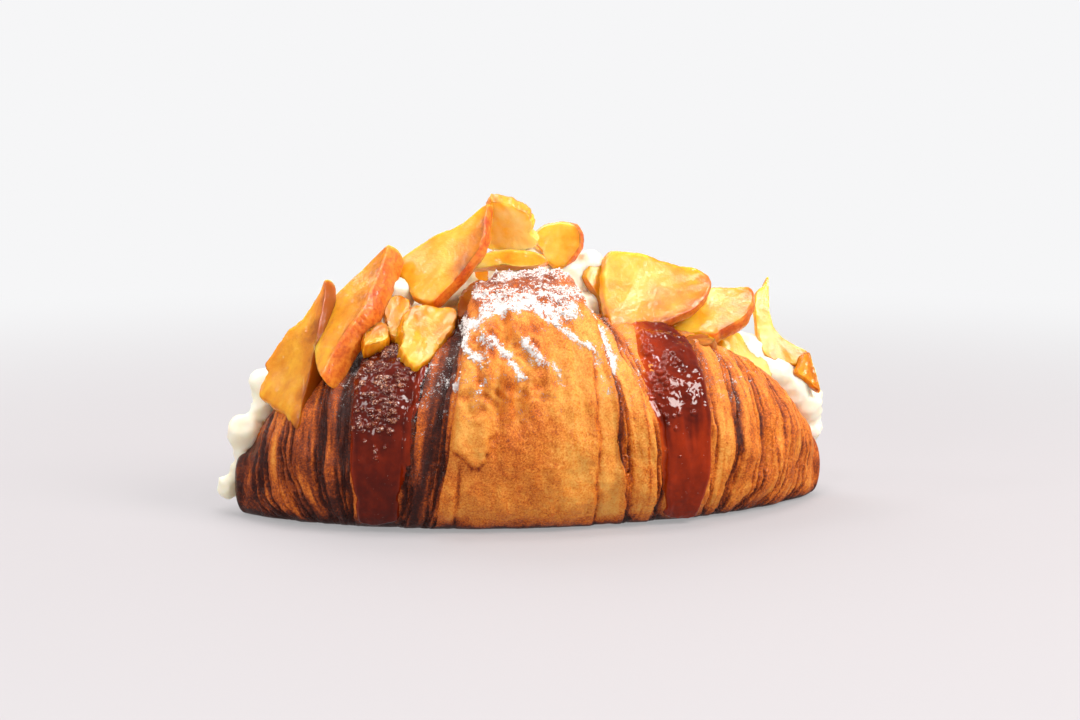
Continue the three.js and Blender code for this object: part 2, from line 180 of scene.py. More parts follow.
def setRamp(colour, stops):
    elements = colour.node.color_ramp.elements
    while len(elements) < len(stops):
        elements.new(0.5)
    for element, (place, text) in zip(elements, stops):
        element.position = place
        element.color = fromHex(text)
    return colour


crust = {
    "colours": [(0.0, "#fcba58"), (0.2, "#f39836"), (0.4, "#da6b16"), (0.6, "#9c400c"), (0.8, "#5c200a"),
                (1.0, "#361009")],
    "crumb": "#e8bd7c", "sugar": "#f6f0ee",
    "noises": [(0.5, 4, 0.75), (3.8, 4, 0.65), (0.5, 3, 0.75), (2.6, 3, 0.6)],
}


def bakedCrust():
    # Laminated dough under egg wash: satin, golden where it is thin, nearly black inside the seams.
    material, shader, tone, crumb, sugar, glaze, freckle, blotch, grain, drift = newMaterial(
        "bakedCrust", ("tone", "crumb", "sugar", "glaze"), crust["noises"])
    browned = addUp(material, -0.875, (tone, 1), (freckle, 1.25), (blotch, 0.5))
    baked = setRamp(addNode(material, "ValToRGB", {"Fac": browned}), crust["colours"])
    crumbed = addNode(material, "Mix", {
        "Factor": crumb, "A": baked, "B": fromHex(crust["crumb"])}, "Result", data_type="RGBA")
    # powdered sugar lies where its mark and two noises add up
    heap = addUp(material, -2.2, (sugar, 1), (grain, 2.6), (drift, 1.8))
    lying = addNode(material, "MapRange", {"Value": heap, "From Min": 0.55, "From Max": 0.78})
    allowed = addNode(material, "Math", {0: sugar, 1: 8.0}, operation="MULTIPLY", use_clamp=True)
    cover = addNode(material, "Math", {0: lying, 1: allowed}, operation="MULTIPLY")
    dusted = addNode(material, "Mix", {
        "Factor": cover, "A": crumbed, "B": fromHex(crust["sugar"])}, "Result", data_type="RGBA")
    wet = addNode(material, "MapRange", {"Value": glaze, "To Min": 0.42, "To Max": 0.12})
    roughness = addNode(material, "MapRange", {"Value": cover, "To Min": wet, "To Max": 0.9})
    relief = addUp(material, 0, (freckle, 1), (blotch, 1.5), (cover, 0.9))
    bump = addNode(material, "Bump", {"Height": relief, "Strength": 0.8, "Distance": 0.4 * mm})
    setInputs(shader, {
        "Base Color": dusted, "Roughness": roughness, "Normal": bump, "Specular IOR Level": 0.35})
    return material


apple = {
    "flesh": [(0.05, "#fbe08c"), (0.3, "#f9cb4a"), (0.52, "#efab22"), (0.75, "#da8610"), (1.0, "#a0500c")],
    "skin": [(0.38, "#ee9636"), (0.5, "#e07424"), (0.62, "#c4501a")], "brown": "#a3481a",
    "noises": [(6, 3, 0.55), (1.1, 2, 0.6), (2.0, 2, 0.5)],
}


def poachedApple():
    # Apple cooked in syrup: wet and translucent, amber towards its edges, its skin faded to salmon.
    material, shader, amber, skin, brown, cloud, fibre, film = newMaterial(
        "poachedApple", ("amber", "skin", "brown"), apple["noises"])
    depth = addUp(material, -0.1, (amber, 1), (cloud, 0.7), (fibre, 0.16))
    flesh = setRamp(addNode(material, "ValToRGB", {"Fac": depth}), apple["flesh"])
    streaks = addUp(material, 0, (cloud, 0.5), (fibre, 0.5))
    faded = setRamp(addNode(material, "ValToRGB", {"Fac": streaks}), apple["skin"])
    skinned = addNode(material, "Mix", {"Factor": skin, "A": flesh, "B": faded}, "Result", data_type="RGBA")
    browned = addNode(material, "Mix", {
        "Factor": brown, "A": skinned, "B": fromHex(apple["brown"])}, "Result", data_type="RGBA")
    bump = addNode(material, "Bump", {"Height": fibre, "Strength": 0.3, "Distance": 0.4 * mm})
    syrup = addNode(material, "Bump", {"Height": film, "Strength": 1.0, "Distance": 0.7 * mm})
    wet = addNode(material, "MapRange", {"Value": skin, "To Min": 0.2, "To Max": 0.45})
    setInputs(shader, {
        "Base Color": browned, "Roughness": wet, "Normal": bump, "Coat Normal": syrup, "IOR": 1.38,
        "Specular IOR Level": 0.4, "Subsurface Weight": 1.0, "Subsurface Radius": (1.0, 0.8, 0.25),
        "Subsurface Scale": 4 * mm, "Coat Weight": 0.6, "Coat Roughness": 0.05})
    return material


def whippedCream():
    # Whipped cream: matt to satin, with light going some millimetres into it.
    material, shader, cloud, fine = newMaterial("whippedCream", (), [(9, 3, 0.5), (1.5, 2, 0.5)])
    colour = setRamp(addNode(material, "ValToRGB", {"Fac": cloud}), [(0.3, "#fff7e6"), (0.7, "#fbe9cc")])
    bump = addNode(material, "Bump", {"Height": fine, "Strength": 0.25, "Distance": 0.3 * mm})
    setInputs(shader, {
        "Base Color": colour, "Normal": bump, "Roughness": 0.38, "Subsurface Weight": 0.6,
        "Subsurface Radius": (1.0, 0.8, 0.55), "Subsurface Scale": 4 * mm})
    return material


def darkCaramel():
    # Boiled sugar set to a glassy coat: deep red-brown, redder where thin, with sugar grains caught in it.
    material, shader, deep, sugar, cloud, grain, speck = newMaterial(
        "darkCaramel", ("deep", "sugar"), [(4, 3, 0.6), (0.7, 3, 0.8), (0.45, 2, 0.7)])
    shade = addUp(material, 0, (deep, 1), (cloud, 0.35))
    colour = setRamp(addNode(material, "ValToRGB", {"Fac": shade}),
                     [(0.15, "#cc5206"), (0.45, "#992a03"), (0.75, "#5a1203"), (1.0, "#260603")])
    heap = addUp(material, -1.2, (sugar, 1), (grain, 2.4))
    cover = addNode(material, "MapRange", {"Value": heap, "From Min": 0.6, "From Max": 0.9})
    grained = addNode(material, "Mix", {
        "Factor": cover, "A": colour, "B": fromHex("#bd7b58")}, "Result", data_type="RGBA")
    bright = addUp(material, -2.95, (sugar, 1), (speck, 4.0))
    white = addNode(material, "MapRange", {"Value": bright, "From Max": 0.2})
    flecked = addNode(material, "Mix", {
        "Factor": white, "A": grained, "B": fromHex("#e6cdbf")}, "Result", data_type="RGBA")
    roughness = addNode(material, "MapRange", {"Value": cover, "To Min": 0.07, "To Max": 0.14})
    bump = addNode(material, "Bump", {"Height": cover, "Strength": 0.4, "Distance": 0.3 * mm})
    setInputs(shader, {
        "Base Color": flecked, "Roughness": roughness, "Normal": bump, "IOR": 1.5, "Specular IOR Level": 0.4})
    return material


def powderedSugar():
    # Icing sugar in small clumps: matt white.
    material, shader, cloud = newMaterial("powderedSugar", (), [(2, 2, 0.5)])
    colour = setRamp(addNode(material, "ValToRGB", {"Fac": cloud}), [(0.2, "#efe7e0"), (0.8, "#fdfbf9")])
    setInputs(shader, {"Base Color": colour, "Roughness": 0.9})
    return material


crustMaterial = bakedCrust()
appleMaterial = poachedApple()
creamMaterial = whippedCream()
caramelMaterial = darkCaramel()
sugarMaterial = powderedSugar()
print("materials made")


# The dough. A wrap has how far its edge is from the middle of the fold, its layers, how far they spread, how
# dark its edge is, and the tone of the dough beyond it. The left half is -1 and the right half is 1. The last
# four are lines on the front: flapTop and flakeFoot give heights, seam and cleft give places along it.
dough = {
    "halfLength": 82, "crescentDepth": 17, "shoulderHeight": 55.5, "foldRise": 10, "frontDepth": 34.5,
    "backDepth": 26, "bellyShare": 0.42, "footShare": 0.62, "undersideMiddle": 8, "wrapStep": 2.4,
    "foldSlant": 7, "foldMiddle": -5.6, "foldTone": 0.3,
    "slitTipWidth": 6, "slitExtraWidth": 14, "slitTipFloor": 5, "slitExtraFloor": 11, "slitCloses": 76.5,
    "columns": 404, "frontRows": 152, "backRows": 54, "underRows": 6, "wallRows": 10, "floorRows": 3,
    "capStart": 78, "capLength": 4.15, "lipRounds": 8, "lipWidth": 5.0, "heapHeight": 0.45,
    "wraps": {
        -1: [(21.6, 3, 2.6, 0.8, 0.58), (29.4, 3, 1.6, 0.9, 0.6), (43.2, 4, 3.0, 1.0, 0.65),
             (49.5, 3, 2.2, 0.9, 0.55), (57, 3, 3.0, 0.8, 0.52), (65, 4, 4.5, 0.9, 0.64)],
        1: [(21.2, 3, 1.5, 1.0, 0.15), (28.7, 3, 2.0, 1.0, 0.3), (43, 2, 1.2, 0.9, 0.26),
            (49.5, 4, 2.6, 1.0, 0.3), (57, 3, 3.0, 0.8, 0.36), (65, 3, 4.0, 0.75, 0.36),
            (74, 4, 5.0, 0.75, 0.38)]},
    "lines": {-1: [24.6, 26.6, 33, 46.5, 53, 61, 71], 1: [23.4, 25.2, 27, 46.4, 53.4, 60.6, 69.5]},
    "flapTop": ([-28, -20.5, -12, -5, 1.5, 7.5, 11], [54.5, 57.4, 58.7, 58, 54.6, 51.6, 49.4]),
    "flakeFoot": ([-27, -25.5, -23, -20.5, -18.5, -17.8, -17.2], [26, 24, 21.5, 19, 19.2, 20.5, 27]),
    "seam": ([0, 15, 26, 31, 41, 49.4], [9, 8.2, 9.3, 9, 10, 11]),
    "cleft": ([0, 5, 22, 45], [-33.8, -33, -30.6, -30.0]),
}


def fullness(x, power):
    # 1 in the middle of the crescent and 0 at its tips
    return np.maximum(0, 1 - (x / dough["halfLength"]) ** 2) ** power


def slit(x):
    # how far its front lip is behind the spine, its width, and the height of its floor
    full = fullness(x, 0.5)
    width = dough["slitTipWidth"] + dough["slitExtraWidth"] * full
    return 2 * full, width, dough["slitTipFloor"] + dough["slitExtraFloor"] * full


def shoulder(x):
    return dough["shoulderHeight"] * fullness(x, 0.47)


def placed(x, behind, z):
    # a point behind the spine, measured square to the crescent
    slope = 2 * dough["crescentDepth"] * x / dough["halfLength"] ** 2
    scale = behind / np.hypot(1, slope)
    y = dough["crescentDepth"] * (x / dough["halfLength"]) ** 2 + scale - dough["undersideMiddle"]
    return joined(x - slope * scale, y, z)


def slanted(x, share):
    # the outer fold's sides lean in towards its top
    away = abs(x - dough["foldMiddle"])
    amount = smooth(0, 20, away) * (1 - smooth(26, 48, away))
    return x - np.sign(x - dough["foldMiddle"]) * dough["foldSlant"] * amount * share ** 2


def wrapRelief(x, turn, side):
    # how far the wraps stand out, their grooves, and how dark and how brown they are, at each place
    lift, groove, dark, tone = (np.zeros(np.broadcast(x, turn).shape) for _ in range(4))
    flat = joined(x, turn * 45, 30.0 * side)
    rough = 0.30 * lumps(flat * np.array([1, 0.5, 1]), 2.4, 13) + 0.16 * lumps(flat, 1.0, 14)
    gather = (1 - np.sin(turn * math.pi / 2)) ** 0.8
    for half, wraps in dough["wraps"].items():
        away = (x - dough["foldMiddle"]) * half
        here = away > 0
        # the wraps draw together at the top and more at the foot, where the outer fold spreads over them
        away = away + np.where(turn > 1, 7.5, 3.2) * gather * smooth(38, 54, away)
        away = away - (turn > 1) * (4.4 if half < 0 else 1.0) * gather * ridge(away - 22, 8)
        grain = joined(away, turn * 3, 40.0 + 20 * half + 10 * side)
        streak = lumps(grain, 0.9, 17) + 0.8 * lumps(grain, 2.4, 18)
        beside = smooth(21, 25, away)
        edges = [wrap[0] for wrap in wraps] + [dough["halfLength"] - half * dough["foldMiddle"]]
        rise = np.interp(away, edges, range(len(edges)))
        height = 0.16 * streak * beside + dough["wrapStep"] * (0.5 + rise)
        height = height + 0.55 * np.sin(math.pi * (rise % 1)) * (rise >= 1)
        brown = dough["foldTone"] + (0.26 if half < 0 else 0.15) * streak * beside
        shade, cut = np.zeros_like(height), np.zeros_like(height)
        before = dough["foldTone"]
        for k, (edge, layers, spread, darkness, beyond) in enumerate(wraps):
            bend = (0.35 if k == 0 else 0.8) * wander(turn * 1.3, 10 * k + 3 * half + side)
            brown = brown + (beyond - before) * smooth(-0.4, 0.4, away - edge - bend)
            before = beyond
            for j in range(layers):
                start = edge + spread * (j / max(1, layers - 1) - 0.25)
                stray = 0.55 * spread / layers * wander(turn * 1.8, 100 * k + 7 * j + half + side)
                off = away - start - bend - stray + rough
                height = height - dough["wrapStep"] / layers * smooth(-0.3, 0.3, off)
                fade = np.clip(0.72 + 0.4 * wander(turn * 3.1, 31 * k + j + 5 * half), 0.1, 1)
                cut = cut + ridge(off - 0.1, 0.34) * fade
                shade = shade + darkness * ridge(off - 0.15, 0.35 + 0.15 * darkness) * fade
        for j, line in enumerate(dough["lines"][half]):
            off = away - line - 0.8 * wander(turn * 1.5, 300 + 7 * j + half + side) + rough
            fade = np.clip(0.6 + 0.6 * wander(turn * 2.7, 400 + j + half), 0, 1)
            shade = shade + 0.6 * ridge(off, 0.28) * fade
        lift, groove, dark, tone = (np.where(here, new, field) for new, field in (
            (height, lift), (cut, groove), (shade, dark), (brown, tone)))
    return lift, np.minimum(groove, 1), np.minimum(dark, 1), tone


def outside(x, side, turn):
    # the outside from a lip (turn 0) over the belly (1) to the flat foot (2), with its groove, dark and tone
    lift, *marks = wrapRelief(x, turn, side)
    lift = lift * fullness(x, 0.3)
    lip, width, _ = slit(x)
    bulge = fullness(x, 0.58)
    onFold = 1 - smooth(18, 25, abs(x - dough["foldMiddle"]))
    height = shoulder(x) + lift + dough["foldRise"] * onFold
    if side < 0:
        belly = -dough["frontDepth"] * bulge - lift
    else:
        lip = lip + width
        belly = lip + dough["backDepth"] * bulge + lift
    bellyHeight = height * dough["bellyShare"]
    angle = np.minimum(turn, 1) * math.pi / 2
    under = np.maximum(turn - 1, 0) * math.pi / 2
    foot = belly * dough["footShare"]
    upper = turn <= 1
    behind = np.where(upper, lip + (belly - lip) * np.sin(angle) ** 0.9,
                      foot + (belly - foot) * np.cos(under))
    z = np.where(upper, bellyHeight + (height - bellyHeight) * np.maximum(np.cos(angle), 0) ** 0.85,
                 bellyHeight * (1 - np.sin(under)))
    return placed(slanted(x, z / height), behind, z), marks


def doughStations():
    # columns stand closer together where the wraps end, and run a little past the tips, where they close
    reach = dough["halfLength"] + 0.2
    x = np.linspace(-reach, reach, 3000)
    density = np.full_like(x, 1.0)
    for half, wraps in dough["wraps"].items():
        for edge, _, spread, _, _ in wraps:
            middle = edge + 0.25 * spread
            density += 1.6 * ridge((x - dough["foldMiddle"]) * half - middle, 1.2 + spread / 2)
    density += 1.2 * smooth(78, 80, abs(x))
    total = np.concatenate([[0], np.cumsum(density[:-1])])
    return np.interp(np.linspace(0, total[-1], dough["columns"]), total, x)[None, :]


# strokes of sugar on the front of the outer fold: width, thickness, and corners along the roll and up
sugarStrokes = [
    (1.1, 0.85, [(-27, 52.7), (-26, 50.1), (-24, 47.9), (-20.5, 45.8)]),
    (1.1, 0.75, [(-21.5, 51.8), (-16.5, 50.7), (-13, 47.9), (-11, 44.6), (-9.5, 42.6)]),
    (1.2, 0.75, [(-9, 50.7), (-7, 48.9), (-5, 46.3)]),
    (1.1, 0.65, [(-2, 44.9), (0, 42)]),
    (1.0, 0.65, [(-27, 39.8), (-25.5, 42)]),
    (0.8, 0.7, [(-21, 37.9), (-20, 40.3), (-17.5, 42)]),
    (2.0, 0.95, [(-21, 59), (-12.5, 60.2), (-5, 59.6), (0, 57.6), (9, 58.5)]),
    (1.2, 1.0, [(-26.5, 54.3), (-21, 57.6), (-12.5, 58.9), (-5, 58.2), (1.5, 54.8), (7.5, 51.9), (11, 49.6)]),
    (1.6, 0.75, [(14, 60.6), (17, 57), (18.5, 53), (17.5, 49), (16.8, 44.3)]),
    (1.8, 0.42, [(12.5, 48.6), (12, 38)]),
]


def fromLine(x, z, corners):
    # how far each place is from a line through the corners
    nearest = np.full(np.broadcast(x, z).shape, 1e9)
    for (ax, az), (bx, bz) in zip(corners, corners[1:]):
        length = (bx - ax) ** 2 + (bz - az) ** 2
        share = np.clip(((x - ax) * (bx - ax) + (z - az) * (bz - az)) / length, 0, 1)
        nearest = np.minimum(nearest, np.hypot(x - ax - share * (bx - ax), z - az - share * (bz - az)))
    return nearest


def makeDough():
    stations = doughStations()
    x = np.clip(stations, -dough["capStart"], dough["capStart"])
    frontTurn = np.linspace(0, 2, dough["frontRows"])[:, None]
    backTurn = np.linspace(2, 0, dough["backRows"])[:, None]
    front, frontMarks = outside(x, -1, frontTurn)
    back, backMarks = outside(x, 1, backTurn)
    acrossFoot = np.linspace(0, 1, dough["underRows"] + 2)[1:-1, None, None]
    under = front[-1:] + (back[:1] - front[-1:]) * acrossFoot
    # the slit's walls, from the back lip down, over its floor, and up to the front lip
    lipFront, width, slitFloor = slit(x)
    closing = smooth(dough["slitCloses"] - 4, dough["slitCloses"], abs(x))
    down = np.linspace(0, 1, dough["wallRows"] + 1)[1:, None]
    lean = 0.1 * down + 0.26 * down ** 4
    lipShare = slanted(x, 1 - 0.6 * down)
    backZ, frontZ = (lip + (slitFloor - lip) * down for lip in (back[-1:, :, 2], front[:1, :, 2]))
    backWall = placed(lipShare, lipFront + width * (1 - lean), backZ)
    frontWall = placed(lipShare, lipFront + width * lean, frontZ)[::-1]
    acrossFloor = np.linspace(0, 1, dough["floorRows"] + 2)[1:-1, None, None]
    floor = backWall[-1:] + (frontWall[:1] - backWall[-1:]) * acrossFloor
    points = np.concatenate([front, under, back, backWall, floor, frontWall, front[:1]])
    rows, shape = len(points), points.shape[:2]
    outer = slice(0, dough["frontRows"])
    outerBack = slice(outer.stop + dough["underRows"], outer.stop + dough["underRows"] + dough["backRows"])
    inner = slice(outerBack.stop, rows - 1)
    groove, dark, tone, crumb, side = (np.zeros(shape) for _ in range(5))
    for part, found in ((outer, (*frontMarks, -1)), (outerBack, (*backMarks, 1))):
        for field, values in zip((groove, dark, tone, side), found):
            field[part] = values
    tone[outer.stop:outerBack.start] = tone[outer.stop - 1]
    points[-1] = points[0]
    # towards the tips the slit closes into one skin from lip to lip
    backLip, frontLip = points[outerBack.stop - 1], points[-1]
    share = np.linspace(0, 1, rows - outerBack.stop + 1)[1:-1, None, None]
    bridge = backLip + (frontLip - backLip) * share
    bridge[..., 2] += 1.2 * np.sin(math.pi * share[..., 0])
    points[inner] += (bridge - points[inner]) * closing[..., None]
    crumb[inner] = 1 - closing
    tone[inner] = tone[outerBack.stop - 1] * closing
    # round the two lips
    index = np.arange(rows)
    steps = [abs(index - lip) for lip in (outerBack.stop - 1, rows - 1)]
    near = sum(ridge(np.minimum(step, rows - 1 - step), dough["lipWidth"]) for step in steps)
    near = np.minimum(near, 1)[:, None, None]
    for _ in range(dough["lipRounds"]):
        ring = np.concatenate([points[-2:-1], points, points[1:2]])
        soft = 0.25 * ring[:-2] + 0.5 * ring[1:-1] + 0.25 * ring[2:]
        points = points + (soft - points) * near
        points[-1] = points[0]
    out = outwards(points)
    along, z = np.broadcast_to(x, shape), points[..., 2]
    onFront = (side < 0) * 1.0
    onOutside = (side != 0) * 1.0
    onFold = (1 - smooth(19.0, 20.5, abs(along - dough["foldMiddle"]))) * onOutside
    # relief of the crust: lumps, furrows that run over the roll, puckers and fine roughness
    stretched = joined(along, points[..., 1] * 0.35, z * 0.25)
    furrow = lumps(stretched, 3.0, 2)
    creased = smooth(26, 38, z) * (1 - smooth(54, 60, z)) * (1 - smooth(-6, 4, along)) * onFold * onFront
    puckered = points @ np.array([[0.8, 0, -0.45], [0, 0.6, 0], [0.6, 0, 0.55]])
    pucker = (0.35 + 1.5 * creased) * (0.25 - abs(lumps(puckered, 2.6, 19))) * onFold * onFront
    relief = 0.9 * lumps(points, 9, 1) * onOutside
    relief += (0.35 * onFold + 0.3 + 1.15 * creased) * furrow * onOutside
    relief += 0.7 * creased * (1 - 2 * abs(lumps(stretched, 4.2, 11)))
    relief += pucker + 0.3 * lumps(stretched, 1.3, 3) * onOutside + 0.16 * lumps(points, 1.1, 4)
    relief -= 0.75 * groove
    # the outer fold: a flap with a seam at its right, an edge at its top and a torn flake at its lower left
    jag = 0.45 * lumps(points, 1.6, 5) + 0.5 * lumps(points, 4.5, 6)
    flapTop = np.interp(along, *dough["flapTop"])
    seamX = np.interp(z, *dough["seam"])
    pastSeam = np.maximum(z - flapTop, along - seamX) + 0.5 * jag
    flap = onFront * onFold
    seamLine = ridge(pastSeam - 0.25, 0.45) * flap
    aboveFlake = z - np.interp(along, *dough["flakeFoot"]) + 1.6 * jag
    flakeWidth = (1 - smooth(-18.5, -15.5, along)) * flap
    # painted shadow: a dark line just under the torn flake's foot, where the lifted flake shades the fold
    flakeShadow = ridge(aboveFlake + 0.5, 0.6) * flakeWidth
    seamLeft = ridge(along + 24.2 - 0.05 * z + 0.4 * jag, 0.4) * flap * (1 - smooth(-2, 0, aboveFlake))
    relief -= 1.1 * smooth(-0.35, 0.35, pastSeam) * flap + 0.4 * seamLine + 0.6 * seamLeft
    relief += (1.4 * smooth(-0.35, 0.35, aboveFlake) * (1 - smooth(14, 34, aboveFlake)) - 0.2) * flakeWidth
    # the torn inner faces of the slit, and the swollen top of the outer fold
    relief += 0.9 * crumb * lumps(joined(along * 0.5, points[..., 1], z * 2.5), 3.0, 7)
    relief += 1.4 * smooth(54, 61, z) * onFold * onFront
    relief *= smooth(0.0, 2.5, z) + 0.15
    relief[-1], out[-1] = relief[0], out[0]
    points = points + out * relief[..., None]
    points[..., 2] = np.maximum(points[..., 2], 0)
    # tones: blotches, honey beside the seam, dark edges, seams, tips and foot, and painted shade in the cleft
    # beside the outer fold and under its flake
    blotch = lumps(points, 14, 8)
    honey = ridge(along - 3.5, 5.0) * smooth(6, 14, z) * (1 - smooth(48, 54, z)) * flap
    tone = tone + 0.08 * blotch + (0.05 + 0.14 * creased) * furrow * onFold
    tone -= 0.13 * honey + 0.17 * pucker + 0.07 * (1 - smooth(6, 26, z)) * flap
    tone -= 0.14 * smooth(0, 1, pastSeam) * smooth(6, 9, along) * flap
    tone -= 0.15 * smooth(0, 3, aboveFlake) * (1 - smooth(10, 22, aboveFlake)) * flakeWidth
    tone += 0.07 * ridge(along + 14, 12) * ridge(z - 10, 14) * flap
    tone += 0.30 * (1 - smooth(0.5, 5, z)) * onOutside
    tone += 0.30 * smooth(57, 61, z) * onFold + 0.22 * smooth(74, 79, abs(along))
    tone += 0.12 * smooth(70, 78, -along) * smooth(-0.2, 0.3, lumps(points, 5, 20))
    tone += 0.40 * dark + 0.25 * groove * dark
    # the flake's line here is painted shadow under it
    tone += 0.26 * seamLine + 0.24 * flakeShadow + 0.26 * seamLeft
    # painted shade: the cleft left of the outer fold is darkened for the shade the fold casts where it stands
    # out over the wraps
    cleft = ridge(along - np.interp(z, *dough["cleft"]), np.interp(z, [0, 22, 45], [0.7, 1.1, 1.6]))
    tone += (0.36 * cleft + 0.4 * (1 - smooth(0.3, 1.8, z + jag))) * onOutside
    tone = np.clip(tone, 0, 1)
    crumb = crumb * (1 - smooth(-2, 0, z - points[:1, :, 2]))
    # sugar: thick on the top of the outer fold, in strokes below it, and a thin dust on what faces up
    up = out[..., 2]
    stray = lumps(points, 3.2, 15) + 0.6 * lumps(points, 1.4, 16)
    sugar = 0.8 * smooth(59, 61.5, z) * onFold * (1 - 0.5 * ridge(z - 64.2, 1.7))
    for width, amount, corners in sugarStrokes:
        strayed = np.maximum(0, fromLine(along, z, corners) + 1.3 * stray)
        sugar = np.maximum(sugar, amount * (1 + 0.35 * stray) * ridge(strayed, width * 1.25) * onFront)
    beside = (1 - onFold) * (1 - smooth(48, 64, abs(along))) * onOutside
    sugar += 0.22 * smooth(24, 40, z) * smooth(0.1, 0.6, up) * beside
    sugar += 0.16 * dark * smooth(22, 38, z) * (1 - smooth(44, 60, abs(along)))
    sugar += 0.12 * creased + 0.14 * ridge(along + 33, 3.5) * smooth(10, 24, z) * onFront
    sugar = np.clip(sugar, 0, 1)
    heaped = smooth(0.5, 0.85, sugar + 0.5 * lumps(points, 1.6, 10) + 0.3 * lumps(points, 3.5, 12))
    points = points + out * (dough["heapHeight"] * heaped)[..., None]
    points[-1] = points[0]
    glaze = ridge(along - 56, 3.4) * smooth(16, 24, z) * onFront + 0.5 * honey + 0.8 * dark
    glaze = np.clip(glaze + 0.7 * smooth(68, 76, -along) + 0.35 * smooth(-0.1, 0.4, blotch), 0, 1)
    # round off the tips
    past = np.clip((abs(stations) - dough["capStart"]) / dough["capLength"], 0, 1)
    shrink = np.sqrt(np.maximum(0, 1 - past ** 2))[..., None]
    centre = points[:-1].mean(axis=0, keepdims=True)
    points = centre + (points - centre) * shrink
    points[..., 0] += np.sign(stations) * past * dough["capLength"]
    piece = makeSheet("croissantCrust", points, {
        "tone": tone, "crumb": crumb, "sugar": sugar, "glaze": glaze})
    finishPiece(piece, crustMaterial, "baked_dough", "croissant_dough")
    return points, out, sugar, x, frontTurn


doughPoints, doughOut, doughSugar, doughX, frontTurn = makeDough()
print("dough made")


# Caramel runs down one wrap. A run has its two sides, the turns of the roll that it covers, how much it
# narrows, how dark it is, how much darker its top is, how sugary and rough it is, and its lean at the top.
caramel = {
    "thickness": 1.3, "sunk": 0.45, "length": 80, "across": 84, "down": 330, "grains": 210, "nests": 14,
    "underside": 0.8,
    "runs": {
        "caramel_run_left": {
            "from": -48.6, "to": -35.2, "top": 0.08, "bottom": 1.74, "narrow": 0.25, "seed": 5, "deep": 0.36,
            "deepTop": 0.1, "grained": 0.5, "rough": 1.0, "lean": 0},
        "caramel_run_right": {
            "from": 23.6, "to": 37.2, "top": 0.08, "bottom": 1.8, "narrow": 0.3, "seed": 8, "deep": 0.16,
            "deepTop": 0.24, "grained": 0.16, "rough": 0.35, "lean": 4.5}},
}


def onDough(x, turn):
    # a point of the finished front of the dough, between its rows and columns
    columns = np.interp(x, doughX[0], np.arange(doughX.shape[1]))
    rows = np.interp(turn, frontTurn[:, 0], np.arange(len(frontTurn)))
    c, r = np.floor(columns).astype(int), np.minimum(np.floor(rows).astype(int), len(frontTurn) - 2)
    fc, fr = (columns - c)[..., None], (rows - r)[..., None]
    found = []
    for field in (doughPoints, doughOut):
        top = field[r, c] * (1 - fc) + field[r, c + 1] * fc
        low = field[r + 1, c] * (1 - fc) + field[r + 1, c + 1] * fc
        found.append(top * (1 - fr) + low * fr)
    return found


def wrapped(front, back):
    # the coat's front, its back, and its first row again, which closes it
    return np.concatenate([front, back[::-1], front[:1]])


